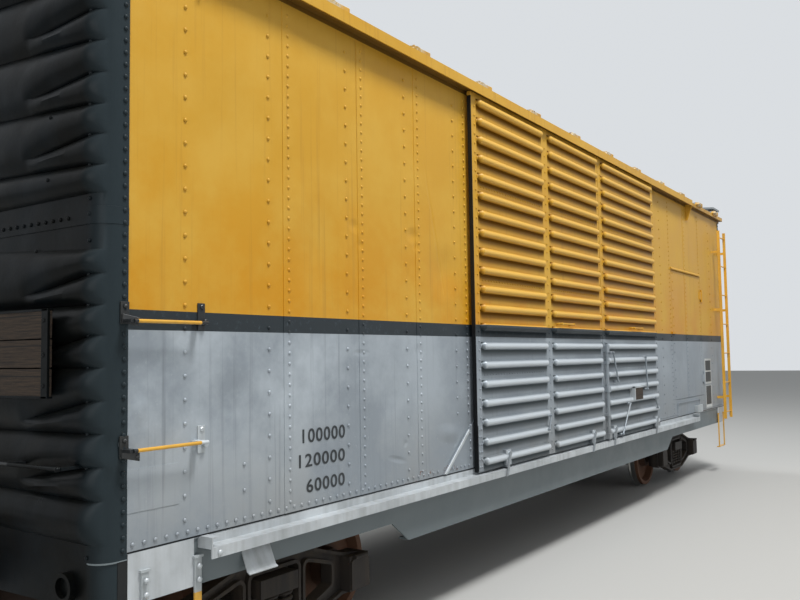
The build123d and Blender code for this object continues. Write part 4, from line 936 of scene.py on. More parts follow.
@dataclass(frozen=True)
class Fastener:
    """A rivet or a bolt, whose head is modelled once and set many times."""

    radius: float = 0.0120
    height: float = 0.0075
    head: Head = Head.DOME

    def model(self, facing: Facing) -> Piece:
        """Models one head that stands out of a wall.

        Args:
            facing: The way the wall faces.

        Returns:
            The head, with its foot at the origin.
        """
        Workshop.deselect()
        if self.head is Head.DOME:
            bpy.ops.mesh.primitive_uv_sphere_add(segments=self.head.value, ring_count=6, radius=self.radius)
            piece = bpy.context.object
            with Workshop.editing(piece):
                bpy.ops.mesh.bisect(plane_co=(0, 0, -0.0001), plane_no=(0, 0, -1), clear_outer=True)
                bpy.ops.mesh.select_all(action="SELECT")
                bpy.ops.transform.resize(value=(1, 1, self.height / self.radius))
        else:
            bpy.ops.mesh.primitive_cylinder_add(
                vertices=self.head.value, radius=self.radius, depth=self.height,
                location=(0, 0, self.height / 2))
            piece = bpy.context.object
            with Workshop.editing(piece, lambda face: face.normal.z > 0.9):
                bpy.ops.mesh.bevel(offset=self.radius * 0.2, segments=1, affect="EDGES")
        Workshop.pick(piece)
        piece.rotation_euler = Vector(facing.value).to_track_quat("Z", "Y").to_euler()
        Workshop.settle(piece, "fastener_head")
        if self.head is Head.DOME:
            bpy.ops.object.shade_smooth()
        return piece

    def set_rows(self, name: str, rows: Sequence[Row], facing: Facing = Facing.NEAR) -> Piece:
        """Sets rows of heads on one wall.

        Args:
            name: Name of the piece.
            rows: The rows.
            facing: The way the wall faces.

        Returns:
            All heads as one piece.
        """
        pattern = self.model(facing)
        made_rows = []
        for row in rows:
            line = Workshop.copy("row", pattern, Matrix.Translation(row.start))
            if row.count > 1:
                Workshop.repeat(line, row.step, row.count)
            made_rows.append(line)
        bpy.data.objects.remove(pattern)
        return Workshop.join(name, made_rows)


@dataclass
class Dressing:
    """Puts a material on every CAD node that stays in view."""

    palette: Palette

    def table(self) -> dict[str, Material]:
        """Returns the record's material slots with their materials."""
        paint = self.palette
        return {
            "side_paint": paint.banded,
            "end_paint": paint.end,
            "roof_paint": paint.roof,
            "sill_paint": paint.sill,
            "grab_paint": paint.grab,
            "underframe_steel": paint.underframe,
            "floor_planks": paint.floor,
            "board_planks": paint.board,
            "running_board_steel": paint.grating,
            "coupler_iron": paint.coupler,
            "truck_iron": paint.truck,
            "spring_steel": paint.truck,
            "wheel_steel": paint.wheel,
        }

    def apply(self) -> None:
        """Gives each node the material of its slot."""
        slots = {part["node"]: part["material_slot"] for part in frame["record"]["subparts"]}
        materials = self.table()
        for name, node in frame["nodes"].items():
            node.data.materials.clear()
            node.data.materials.append(materials[slots[name]])


@dataclass
class SideSheets:
    """The riveted seams of both sides: laps, rivet columns, the lowest row and the corner gusset.

    A column is its station and the distance between its rivets.
    """

    palette: Palette
    foot: float = 1.083
    low: float = 1.122
    high: float = 4.19
    top: float = 4.238
    bottom_pitch: float = 0.070
    bottom_end: float = 12.28
    lap_proud: float = 0.003
    lap_lead: float = 0.050
    lap_run: float = 0.250
    left_columns: tuple[tuple[float, float], ...] = (
        (0.365, 0.125), (1.012, 0.127), (1.191, 0.064), (1.777, 0.127), (1.955, 0.064),
        (2.500, 0.127), (2.683, 0.064))
    post_columns: tuple[tuple[float, float], ...] = ((3.225, 0.127), (3.405, 0.064))
    post_low: float = 1.55
    left_laps: tuple[float, ...] = (1.191, 1.955, 2.683)
    odd_rivets: tuple[tuple[float, float], ...] = ((0.803, 1.424), (0.803, 1.279))
    right_columns: tuple[tuple[float, float], ...] = (
        (8.530, 0.064), (8.900, 0.127), (9.330, 0.064), (11.620, 0.127), (12.280, 0.064))
    right_lap: float = 9.330
    hatch_columns: tuple[tuple[float, float], ...] = ((10.149, 0.064), (10.944, 0.064))
    hatch_lap: float = 10.149
    hatch: tuple[float, float] = (1.285, 3.260)
    leaf_column: tuple[float, float] = (9.470, 0.127)
    leaf_rivets: tuple[float, float] = (1.380, 3.160)
    leaf_lap: tuple[float, float] = (1.345, 3.185)
    door_end: float = 8.450
    gusset_left: float = 2.980
    gusset_right: float = 3.405
    gusset_y: float = -1.462
    gusset_pitch: float = 0.064

    def columns(self, columns: Sequence[tuple[float, float]], low: Optional[float] = None,
                high: Optional[float] = None) -> list[Row]:
        """Lays upright rows of rivets.

        Args:
            columns: Station and pitch of each.
            low: Lowest rivet, or none for half a pitch above the lowest row.
            high: Highest place a rivet may take, or none for the sheets' usual one.

        Returns:
            The rows.
        """
        high = high or self.high
        rows = []
        for station, pitch in columns:
            first = low or self.low + pitch / 2
            rows.append(Row(spot(station, SIDE_Y, first), (0, 0, pitch), int((high - first) / pitch) + 1))
        return rows

    def lap(self, station: float, low: float, high: float) -> Piece:
        """Models a sheet's lapped edge: a wedge that stands proud at the seam and fades out.

        Args:
            station: Station of the dense rivets along it.
            low: Its lowest place.
            high: Its highest place.

        Returns:
            The wedge.
        """
        left = station - self.lap_lead
        wedge = Workshop.panel("lap", (left, left + self.lap_run, low, high), SIDE_Y - self.lap_proud,
                               SIDE_Y + 0.002, 0.0004)
        fades = CORNER_X + left + self.lap_run - 0.002
        with Workshop.editing(wedge, lambda face: face.center.x > fades):
            bpy.ops.transform.translate(value=(0, self.lap_proud, 0))
        return wedge

    def left_part(self) -> list[Piece]:
        """Models the laps and rivets before the doorway. Returns them."""
        laps = [self.lap(station, self.foot, self.top) for station in self.left_laps]
        along, upright = (self.gusset_pitch, 0, 0), (0, 0, self.gusset_pitch)
        count = int((self.gusset_left - 0.03) / self.bottom_pitch)
        rows = [
            *self.columns(self.left_columns), *self.columns(self.post_columns, self.post_low),
            Row(spot(0.035, SIDE_Y, self.low), (self.bottom_pitch, 0, 0), count),
            *(Row(spot(station, SIDE_Y, z)) for station, z in self.odd_rivets),
            Row(spot(self.gusset_left + 0.07, self.gusset_y, self.low), along, 6),
            Row(spot(self.gusset_right, self.gusset_y, self.low + self.gusset_pitch), upright, 5)]
        return laps + [Fastener().set_rows("rivets", rows)]

    def right_part(self, has_hatch: bool) -> list[Piece]:
        """Models the laps and rivets beyond the doorway.

        Args:
            has_hatch: True for the near side, whose access door breaks two seams.

        Returns:
            The laps and rivets.
        """
        start, step = self.door_end + 0.06, self.bottom_pitch
        low = self.low + 0.06
        rows = self.columns(self.right_columns)
        if has_hatch:
            rows += self.columns(self.hatch_columns, low, self.hatch[0])
            low = self.hatch[1]
            laps = []
        else:
            laps = [self.lap(self.right_lap, self.foot, self.top)]
        rows += self.columns(self.hatch_columns, low)
        laps.append(self.lap(self.hatch_lap, low, self.top))
        count = int((self.bottom_end - start) / step) + 1
        rows.append(Row(spot(start, SIDE_Y, self.low), (step, 0, 0), count))
        return laps + [Fastener().set_rows("rivets", rows)]

    def build(self) -> None:
        """Models both sides and the access door's own seams."""
        paint = self.palette.banded
        near = Workshop.join("near_side_seams", self.left_part() + self.right_part(True))
        far = Workshop.join("far_side_seams", self.left_part() + self.right_part(False))
        far.data.transform(TURN)
        rows = self.columns((*self.hatch_columns, self.leaf_column), *self.leaf_rivets)
        leaf = Workshop.join("access_door_seams", [
            self.lap(self.hatch_lap, *self.leaf_lap), Fastener().set_rows("rivets", rows)])
        Workshop.dress(near, paint, "side_paint")
        Workshop.dress(far, paint, "side_paint")
        Workshop.dress(leaf, paint, "side_paint", "access_door")


@dataclass
class SideFurniture:
    """What is painted or bolted on the sides: plain figures, card plates, a small box and grab feet."""

    palette: Palette
    figures: tuple[tuple[str, Area], ...] = (
        ("100000", (1.306, 1.735, 1.491, 1.578)), ("120000", (1.271, 1.731, 1.342, 1.424)),
        ("60000", (1.341, 1.727, 1.184, 1.267)))
    figures_proud: float = 0.0024
    cards: tuple[Area, ...] = ((11.115, 11.500, 1.500, 1.900), (11.140, 11.500, 1.110, 1.475))
    cells: tuple[Area, ...] = (
        (11.145, 11.470, 1.530, 1.688), (11.145, 11.470, 1.712, 1.870), (11.150, 11.460, 1.170, 1.465))
    box: Area = (10.400, 10.700, 1.092, 1.205)
    bracket_left: float = -0.045
    bracket_right: float = 0.016
    bracket_reach: float = 0.058
    foot_station: float = 0.480
    feet: tuple[tuple[str, float], ...] = (("upper", 2.296), ("lower", 1.640))
    # Corners of the strip painted bright along the gusset's slanted edge, a painted highlight.
    gusset_edge: tuple[tuple[float, float], ...] = (
        (2.980, 1.096), (3.012, 1.088), (3.404, 1.398), (3.376, 1.412))

    def figure(self, text: str, area: Area) -> Piece:
        """Models one row of figures as a thin coat of paint.

        Args:
            text: The figures.
            area: The stations and heights that they fill.

        Returns:
            The figures.
        """
        Workshop.deselect()
        bpy.ops.object.text_add(rotation=(math.pi / 2, 0, 0))
        piece = bpy.context.object
        piece.data.body = text
        piece.data.offset = 0.016
        piece.data.space_character = 1.12
        bpy.ops.object.convert(target="MESH")
        piece = Workshop.settle(bpy.context.object, "figures")
        left, right, low, high = area
        xs = [vertex.co.x for vertex in piece.data.vertices]
        zs = [vertex.co.z for vertex in piece.data.vertices]
        wide, tall = (right - left) / (max(xs) - min(xs)), (high - low) / (max(zs) - min(zs))
        shift = Matrix.Translation(spot(left, SIDE_Y - self.figures_proud, low))
        piece.data.transform(
            shift @ Matrix.Diagonal((wide, 1, tall, 1)) @ Matrix.Translation((-min(xs), 0, -min(zs))))
        return piece

    def panels(self) -> None:
        """Models the figures, and the two painted panels by the right corner, left blank."""
        rows = [self.figure(*line) for line in self.figures]
        white = [Workshop.panel("card", area, SIDE_Y - 0.003, SIDE_Y, 0.0006) for area in self.cards]
        dark = [Workshop.panel("cell", area, SIDE_Y - 0.004, SIDE_Y - 0.001, 0.0004) for area in self.cells]
        for name, parts, paint in (
                ("plain_figures", rows, self.palette.figures), ("card_plates", white, self.palette.card),
                ("card_cells", dark, self.palette.figures)):
            Workshop.dress(Workshop.join(name, parts), paint, "side_paint")

    def grab_feet(self) -> None:
        """Models the bolted plates and the bent straps that carry the grab irons of both corners."""
        x = self.foot_station
        for (name, z), paint in zip(self.feet, (self.palette.black, self.palette.bright)):
            boss = [spot(x + 0.012, y, z - 0.075) for y in (SIDE_Y, SIDE_Y - 0.030)]
            bolt = [Row(spot(x, SIDE_Y - 0.007, z))]
            foot = Workshop.join(f"near_grab_foot_{name}", [
                Workshop.panel("plate", (x - 0.030, x + 0.022, z - 0.120, z + 0.028), SIDE_Y - 0.007,
                               SIDE_Y, 0.003),
                Fastener(0.015, 0.012, Head.NUT).set_rows("bolt", bolt), Workshop.bar("boss", *boss, 0.016)])
            Workshop.pair(foot, paint, "grab_paint")
            bracket = self.bracket(f"near_grab_bracket_{name}", z - 0.045)
            Workshop.pair(bracket, self.palette.black, "grab_paint")

    def bracket(self, name: str, z: float) -> Piece:
        """Models the bent strap that carries a grab iron's end at the car's corner.

        Args:
            name: Name of the piece.
            z: Height of the strap's upper edge at the flange.

        Returns:
            The strap with its pad and its two bolts.
        """
        left, right, back = self.bracket_left, self.bracket_right, FLANGE_Y - 0.008
        strap = Workshop.plate("strap", (
            (left, z), (right, z - 0.022), (right, z - 0.062), (left, z - 0.046)), back, 0.008)
        for vertex in strap.data.vertices:
            vertex.co.y -= self.bracket_reach * (vertex.co.x - CORNER_X - left) / (right - left)
        pad = Workshop.panel("pad", (left - 0.006, 0.0, z - 0.050, z + 0.060), FLANGE_Y - 0.009,
                             FLANGE_Y + 0.001, 0.002)
        bolts = Fastener(0.013, 0.010).set_rows("bolts", [
            Row(spot(-0.024, FLANGE_Y - 0.009, z + 0.036)),
            Row(spot(right - 0.010, back - 0.008 - self.bracket_reach * 0.86, z - 0.042))])
        return Workshop.join(name, [strap, pad, bolts])

    def hardware(self) -> None:
        """Models the step bolts, the stop's bolt, the gusset's edge and the small box. The gusset's edge is a
        strip painted bright, a painted highlight where that edge catches the light.
        """
        paint, slot = self.palette.bright, "sill_paint"
        steps = [Row(spot(station, -1.468, z)) for station in (0.105, 0.450) for z in (0.935, 0.866)]
        stop = [Row(spot(0.520, -1.549, 0.999))]
        Workshop.pair(Fastener(0.017, 0.012).set_rows("near_step_bolts", steps), paint, slot)
        Workshop.pair(Fastener(0.018, 0.011).set_rows("near_stop_bolt", stop), paint, slot)
        box = Workshop.panel("paper_box", self.box, SIDE_Y - 0.055, SIDE_Y, 0.004)
        with Workshop.editing(box, lambda face: face.normal.z > 0.95 and face.area > 0.005):
            bpy.ops.mesh.inset(thickness=0.004)
            bpy.ops.transform.translate(value=(0, 0, -0.01))
        Workshop.dress(box, paint, slot)
        # A bright strip on the gusset's slanted edge: a painted highlight.
        edge = Workshop.plate("near_gusset_edge", self.gusset_edge, SideSheets.gusset_y, 0.009)
        Workshop.pair(edge, paint, slot)

    def build(self) -> None:
        """Models everything on the sides."""
        self.panels()
        self.grab_feet()
        self.hardware()


@dataclass
class RoofTrim:
    """The folded ends of the roof's seam caps, which stand up along both eaves."""

    palette: Palette
    pitch: float = 1.03
    count: int = 12
    half_width: float = 0.115
    shift: float = 0.085
    inner_y: float = -1.460
    outer_y: float = -1.552
    low: float = 4.308
    high: float = 4.376

    def build(self) -> None:
        """Models the near eave's cap ends, and turned copies for the far eave."""
        first = self.shift - self.pitch * (self.count - 1) / 2
        cap = Workshop.block("near_roof_cap_ends", (first - self.half_width, self.outer_y, self.low),
                             (first + self.half_width, self.inner_y, self.high), 0.014)
        with Workshop.editing(cap, lambda face: face.normal.z > 0.9 and face.area > 0.002):
            bpy.ops.transform.resize(value=(0.62, 0.8, 1.0))
        Workshop.pair(Workshop.repeat(cap, (self.pitch, 0, 0), self.count), self.palette.roof, "roof_paint")


@dataclass(frozen=True)
class Dart:
    """A short rib at the side of the end. It grows from a point toward the corner."""

    tip_z: float
    top_z: float
    bottom_z: float


@dataclass(frozen=True)
class PressedPanel:
    """One panel of the end: its edges' heights, at the middle and at the corner, and its darts."""

    top: tuple[float, float]
    foot: tuple[float, float]
    darts: tuple[Dart, ...]


@dataclass
class PressedEnds:
    """The left end's pressed skin, which stands for its CAD panels, and the heads on both ends.

    The ribs' run into the corner is worked out point by point, because no edit-mode operator
    presses such a form into a sheet. A knock is its y and z, half its width and height, and depth.
    """

    palette: Palette
    low: float = 1.055
    high: float = 4.240
    ridge_z: float = 4.440
    corner_radius: float = 0.100
    corner_steps: int = 12
    rib_bulge: float = 0.052
    dart_bulge: float = 0.047
    rib_start: float = 0.50
    tip_y: float = 0.85
    rib_end: float = 1.38
    nose_start: float = 1.335
    nose_end: float = 1.427
    crease_drop: float = 0.060
    lap: tuple[float, float] = (2.692, 2.778)
    lap_proud: float = 0.005
    gauge: float = 0.008
    rib_rows: int = 10
    dart_rows: int = 6
    flat_columns: int = 132
    upper: PressedPanel = PressedPanel((4.200, 4.200), (2.835, 2.842), (
        Dart(4.035, 4.085, 3.925), Dart(3.716, 3.765, 3.606),
        Dart(3.393, 3.445, 3.286), Dart(3.074, 3.136, 2.983)))
    lower: PressedPanel = PressedPanel((2.619, 2.566), (1.165, 1.140), (
        Dart(2.359, 2.447, 2.292), Dart(2.045, 2.145, 1.987),
        Dart(1.724, 1.827, 1.669), Dart(1.429, 1.510, 1.350)))
    flange_station: float = -0.025
    flange_pitch: float = 0.0615
    flange_low: float = 1.105
    flange_high: float = 4.19
    lap_row_z: float = 2.734
    cad_lap_row_z: float = 2.779
    lap_half: float = 1.184
    lap_pitch: float = 0.064
    bolt_y: float = 1.352
    bolt_heights: tuple[float, ...] = (
        3.765, 3.606, 3.445, 3.286, 3.136, 2.983, 2.818, 2.742, 2.610, 2.443, 2.292, 2.145, 1.987, 1.827,
        1.669, 1.510, 1.084)
    nubs: tuple[tuple[float, float], ...] = ((-1.074, 3.260), (-1.073, 2.936), (-0.921, 2.590))
    knocks: tuple[tuple[float, ...], ...] = (
        (-1.400, 1.615, 0.050, 0.050, 0.014), (-1.395, 1.455, 0.060, 0.040, 0.012),
        (-1.330, 1.535, 0.050, 0.030, -0.010))
    lining: tuple[Point, Point] = ((-6.285, -1.369, 1.131), (-6.225, 1.369, 4.239))
    pad_heights: tuple[float, ...] = (1.516, 3.617)
    grab_x: float = -6.437
    grab_z: float = 1.516

    @staticmethod
    def arch(z: float, foot: float, top: float) -> float:
        """Gives a rib's rounded profile, from 0 at its edges to 1 at its crest.

        Args:
            z: The height asked for.
            foot: The rib's lower edge.
            top: Its upper edge.

        Returns:
            The share of the full bulge.
        """
        if top - foot < 1e-6 or not foot < z < top:
            return 0.0
        return (1 - (2 * (z - foot) / (top - foot) - 1) ** 2) ** 0.8

    @staticmethod
    def rows(high: float, low: float, count: int) -> list[float]:
        """Divides the way from one height down to another, closely at both ends.

        Args:
            high: Where it starts.
            low: The last height.
            count: How many heights.

        Returns:
            The heights, without the first edge.
        """
        return [high + (low - high) * (1 - math.cos(math.pi * step / count)) / 2
                for step in range(1, count + 1)]

    def column(self, y: float) -> list[tuple[float, float]]:
        """Works out one upright line of the skin, with its points on the creases.

        Args:
            y: Where the line stands.

        Returns:
            Height and bulge of each point, from the roof down.
        """
        reach = abs(y)
        spread = share(reach, self.rib_start, self.rib_end)
        grown = share(reach, self.tip_y, self.rib_end)
        notch = min(grown * 2.6, 1.0) ** 0.7
        fade = math.sqrt(1 - share(reach, self.nose_start, self.nose_end) ** 2)
        roof = self.ridge_z - (self.ridge_z - self.high) * min(reach / 1.37, 1.0)
        points = [(roof, 0.0), (min(roof, 4.225), 0.0)]
        for panel in (self.upper, self.lower):
            top = panel.top[0] + (panel.top[1] - panel.top[0]) * spread
            points.append((top, 0.0))
            for dart in panel.darts:
                split = dart.tip_z + (dart.top_z - dart.tip_z) * grown
                crease = dart.tip_z - self.crease_drop
                crease += (dart.bottom_z - crease) * spread
                for high, low, count, bulge in (
                        (top, split, self.rib_rows, self.rib_bulge),
                        (split, crease, self.dart_rows, self.dart_bulge)):
                    for z in self.rows(high, low, count):
                        whole = self.rib_bulge * self.arch(z, crease, top)
                        parted = bulge * self.arch(z, low, high)
                        points.append((z, fade * (whole * (1 - notch) + parted * notch)))
                top = crease
            foot = panel.foot[0] + (panel.foot[1] - panel.foot[0]) * spread
            points += [(z, fade * self.rib_bulge * self.arch(z, foot, top))
                       for z in self.rows(top, foot, self.rib_rows)]
            if panel is self.upper:
                low, high = self.lap
                points.append((high + 0.001, 0.0))
                points += [(z, self.lap_proud) for z in (high, (low + high) / 2, low)]
                points.append((low - 0.001, 0.0))
        return points + [(1.10, 0.0), (self.low, 0.0)]

    def section(self) -> list[tuple[float, float, float, float]]:
        """Gives the end's plan from corner to corner: x, y and the outward normal's x and y."""
        radius, steps = self.corner_radius, self.corner_steps
        half = -FLANGE_Y - radius
        plan = [(CORNER_X, half + radius, 0.0, 1.0)]
        for step in range(steps + 1):
            angle = math.pi / 2 * (1 - step / steps)
            nx, ny = -math.cos(angle), math.sin(angle)
            plan.append((END_X + radius + radius * nx, half + radius * ny, nx, ny))
        plan += [(END_X, half - 2 * half * i / self.flat_columns, -1.0, 0.0)
                 for i in range(1, self.flat_columns)]
        return plan + [(x, -y, nx, -ny) for x, y, nx, ny in reversed(plan[:steps + 2])]

    def skin(self) -> Piece:
        """Presses the skin of the left end. Returns it."""
        plan = self.section()
        lines = [self.column(y) for _, y, _, _ in plan]
        across, down = len(plan) - 1, len(lines[0]) - 1
        Workshop.deselect()
        bpy.ops.mesh.primitive_grid_add(x_subdivisions=across, y_subdivisions=down, size=1)
        skin = bpy.context.object
        for vertex in skin.data.vertices:
            place = round((vertex.co.x + 0.5) * across)
            x, y, nx, ny = plan[place]
            z, proud = lines[place][round((0.5 - vertex.co.y) * down)]
            proud -= self.knock(y, z)
            vertex.co = (x + nx * proud, y + ny * min(proud, self.lap_proud * 0.4), z)
        skin.name = "left_end_skin"
        with Workshop.editing(skin):
            bpy.ops.mesh.remove_doubles(threshold=0.0002)
        if skin.data.polygons[0].normal.x > 0.5 or skin.data.polygons[len(plan) // 2].normal.x > 0:
            with Workshop.editing(skin):
                bpy.ops.mesh.flip_normals()
        Workshop.modify(skin, "SOLIDIFY", thickness=self.gauge, offset=-1.0)
        bpy.ops.object.shade_smooth_by_angle(angle=math.radians(34))
        return skin

    def knock(self, y: float, z: float) -> float:
        """Finds how deep the corner is knocked in at one place.

        Args:
            y: The place across.
            z: Its height.

        Returns:
            The depth, below zero where the sheet is pushed out.
        """
        return sum(depth * math.exp(-((y - middle) / wide) ** 2 - ((z - level) / tall) ** 2)
                   for middle, level, wide, tall, depth in self.knocks)

    def heads(self, name: str, skinned: bool) -> Piece:
        """Models the rivets and bolts of one end, placed as on the left.

        Args:
            name: Name of the piece.
            skinned: True where the pressed skin stands behind them, whose bulges they follow.

        Returns:
            The flanges' rivets and the wall's.
        """
        count = int((self.flange_high - self.flange_low) / self.flange_pitch) + 1
        near = Fastener(0.0125, 0.008).set_rows("flange", [
            Row(spot(self.flange_station, FLANGE_Y, self.flange_low), (0, 0, self.flange_pitch), count)])
        far = Workshop.copy("flange", near, Matrix.Diagonal((1, -1, 1, 1)))
        with Workshop.editing(far):
            bpy.ops.mesh.flip_normals()
        count = int(2 * self.lap_half / self.lap_pitch) + 1
        lap_z = self.lap_row_z if skinned else self.cad_lap_row_z
        rows = [Row((END_X - self.lap_proud, -self.lap_half, lap_z), (0, self.lap_pitch, 0), count)]
        for y in (-self.bolt_y, self.bolt_y):
            for z in self.bolt_heights:
                rows.append(Row((END_X - 0.002 + (self.knock(y, z) if skinned else 0.0), y, z)))
        if skinned:
            for y, z in self.nubs:
                bulge = min(self.column(y), key=lambda point: abs(point[0] - z))[1]
                rows.append(Row((END_X - bulge + self.knock(y, z), y, z)))
        wall = Fastener(0.0115, 0.007).set_rows("wall", rows, Facing.LEFT)
        return Workshop.join(name, [near, far, wall])

    def build(self) -> None:
        """Models the left end's skin with its lining, and the heads of both ends."""
        skin = self.skin()
        Workshop.dress(skin, self.palette.end, "end_paint")
        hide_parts("left_end_upper", "left_end_lower")
        lining = Workshop.block("left_end_lining", *self.lining, 0.003)
        Workshop.dress(lining, self.palette.floor, "floor_planks")
        left, right = self.heads("left_end_heads", True), self.heads("right_end_heads", False)
        right.data.transform(TURN)
        x, z, back = self.grab_x, self.grab_z, END_X + 0.002
        pads = Workshop.join("left_end_pads", [
            Workshop.block("pad", (-6.360, 0.940, middle - 0.03), (back, 0.980, middle + 0.03), 0.003)
            for middle in self.pad_heights])
        grab = Workshop.join("left_end_grab", [
            Workshop.bar("bar", (x, -1.330, z), (x, -0.900, z), 0.010),
            Workshop.block("foot", (x, -1.335, z - 0.008), (back, -1.300, z + 0.008), 0.002),
            Fastener(0.015, 0.010).set_rows("bolt", [Row((x - 0.010, -1.318, z))], Facing.LEFT)])
        for piece in (left, right, pads, grab):
            Workshop.dress(piece, self.palette.end, "end_paint")


@dataclass
class DoorLeaf:
    """The rivets and seam strips of one sliding door, modelled as a near side door."""

    palette: Palette
    body: str
    stiles: tuple[float, ...]
    columns: tuple[tuple[float, float], ...]
    patch: Optional[Area] = None
    turned: bool = False
    has_board: bool = False
    seam_heights: tuple[float, ...] = (1.8545, 2.6570, 3.4595)
    seam_pitch: float = 0.052
    stile_pitch: float = 0.08025
    low: float = 1.095
    high: float = 4.20
    board: Area = (7.293, 7.590, 1.448, 1.603)
    board_straps: tuple[Area, ...] = ((7.280, 7.603, 1.590, 1.610), (7.280, 7.300, 1.440, 1.610))

    def build(self) -> None:
        """Models the door's heads and strips, and turns them for a far door."""
        count = int((self.high - self.low) / self.stile_pitch) + 1
        rows = [
            Row(spot(station, DOOR_Y, self.low), (0, 0, self.stile_pitch), count) for station in self.stiles]
        parts = [Fastener(0.0105, 0.006).set_rows("stile_rivets", rows)]
        small = []
        for z in self.seam_heights:
            for first, last in self.columns:
                count = int((last - first - 0.1) / self.seam_pitch)
                start = spot(first + 0.06, DOOR_Y - 0.002, z - 0.002)
                small.append(Row(start, (self.seam_pitch, 0, 0), count))
                parts.append(Workshop.panel("seam_strip", (first + 0.03, last - 0.03, z - 0.024, z + 0.018),
                                            DOOR_Y - 0.0022, DOOR_Y + 0.001, 0.0005))
        parts.append(Fastener(0.0085, 0.0050).set_rows("seam_rivets", small))
        if self.patch:
            left, right, low, high = self.patch
            parts.append(Workshop.plate(
                "patch", ((left, low), (right, low), (right, high), (left, high - 0.02)), DOOR_Y, 0.004))
            parts.append(Fastener(0.011, 0.007).set_rows("patch_rivets", [
                Row(spot(station, DOOR_Y - 0.004, low + 0.03), (0, 0, 0.062), 6)
                for station in (left + 0.02, right - 0.018)]))
        seams = Workshop.join(f"{self.body}_{'riveting' if self.turned else 'seams'}", parts)
        if self.turned:
            seams.data.transform(TURN)
        Workshop.dress(seams, self.palette.banded, "side_paint", self.body)
        if self.has_board:
            self.tack_board()

    def tack_board(self) -> None:
        """Models the narrow door's wooden card board under its steel strap."""
        board = Workshop.panel("tack_board", self.board, -1.574, -1.548, 0.003)
        Workshop.dress(board, self.palette.board, "board_planks", self.body)
        strap = Workshop.join("tack_board_strap", [
            Workshop.panel("strap", area, -1.578, DOOR_Y, 0.002) for area in self.board_straps])
        Workshop.dress(strap, self.palette.bright, "side_paint", self.body)


@dataclass
class RouteBoards:
    """The ends' planked route boards in their steel frames, which stand for the CAD boards.

    The photograph shows only the end of the board by the corner, so it runs from the CAD
    board's far edge to there.
    """

    palette: Palette
    wall: float = -6.340
    back: float = -6.382
    front: float = -6.408
    left_y: float = -1.172
    right_y: float = -0.048
    low: float = 1.846
    high: float = 2.276
    planks: int = 3
    strap: float = 0.052
    gauge: float = 0.004
    bolt_heights: tuple[float, ...] = (1.90, 2.05, 2.22)
    post_places: tuple[float, ...] = (-1.08, -0.128)
    post_heights: tuple[float, ...] = (1.895, 2.215)

    def build(self) -> None:
        """Models the left end's board, and a turned copy for the right end."""
        start, end, face = self.left_y, self.right_y, self.front - self.gauge
        pitch = (self.high - self.low) / self.planks
        left = Workshop.join("left_route_board", [
            Workshop.block("plank", (self.front, start, self.low + row * pitch + 0.003),
                           (self.back, end, self.low + (row + 1) * pitch - 0.003), 0.004)
            for row in range(self.planks)])
        straps = [
            Workshop.block("strap", (face, y, self.low - 0.004),
                           (self.front + 0.010, y + self.strap, self.high + 0.004), 0.0015)
            for y in (start - 0.004, end - self.strap + 0.004)]
        edges = [
            Workshop.block("edge", (face, start, z - 0.007), (self.back + 0.004, end, z + 0.004), 0.0015)
            for z in (self.high, self.low + 0.003)]
        posts = [
            Workshop.block("post", (self.back, y - 0.02, z - 0.03), (self.wall, y + 0.02, z + 0.03), 0.003)
            for y in self.post_places for z in self.post_heights]
        bolts = Fastener(0.013, 0.008, Head.NUT).set_rows("bolts", [
            Row((face, y, z)) for y in (start + 0.030, end - 0.030) for z in self.bolt_heights], Facing.LEFT)
        holder = Workshop.join("left_board_frame", [*straps, *edges, *posts, bolts])
        Workshop.pair(left, self.palette.board, "board_planks")
        Workshop.pair(holder, self.palette.end, "end_paint")
        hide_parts("route_boards")


@dataclass
class Springs:
    """The trucks' coil springs, each wound on a screw, which stand for the plain CAD springs."""

    palette: Palette
    truck_x: float = 4.65
    side_y: float = 0.99
    offsets: tuple[float, ...] = (-0.14, 0.0, 0.14)
    low: float = 0.24
    high: float = 0.48
    seat: float = 0.006
    coil_radius: float = 0.044
    wire_radius: float = 0.013
    turns: int = 5

    def coil(self) -> Piece:
        """Winds one spring about the Z axis, from its seat up. Returns it."""
        Workshop.deselect()
        rise = self.high - self.low - 2 * self.wire_radius - 2 * self.seat
        foot = self.low + self.wire_radius + self.seat
        bpy.ops.mesh.primitive_circle_add(
            vertices=8, radius=self.wire_radius, location=(self.coil_radius, 0, foot),
            rotation=(math.pi / 2, 0, 0))
        wire = Workshop.settle(bpy.context.object, "coil")
        steps = 16 * self.turns
        Workshop.modify(wire, "SCREW", axis="Z", angle=math.tau * self.turns, screw_offset=rise, steps=steps,
                        render_steps=steps)
        with Workshop.editing(wire):
            bpy.ops.mesh.remove_doubles(threshold=0.0001)
            bpy.ops.mesh.normals_make_consistent(inside=False)
        bpy.ops.object.shade_smooth()
        seats = [
            Workshop.bar("seat", (0, 0, z), (0, 0, z + self.seat), 0.058, 20)
            for z in (self.low, self.high - self.seat)]
        core = Workshop.bar("core", (0, 0, self.low + 0.004), (0, 0, self.high - 0.004), 0.022, 10)
        return Workshop.join("coil", [wire, core, *seats])

    def build(self) -> None:
        """Sets six springs in each truck."""
        coil = self.coil()
        for side, middle in (("left", -self.truck_x), ("right", self.truck_x)):
            nest = Workshop.join(f"{side}_truck_coils", [
                Workshop.copy("coil", coil, Matrix.Translation((middle + dx, y, 0)))
                for y in (-self.side_y, self.side_y) for dx in self.offsets])
            Workshop.dress(nest, self.palette.truck, "spring_steel", f"{side}_truck")
            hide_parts(f"{side}_truck_springs")
        bpy.data.objects.remove(coil)


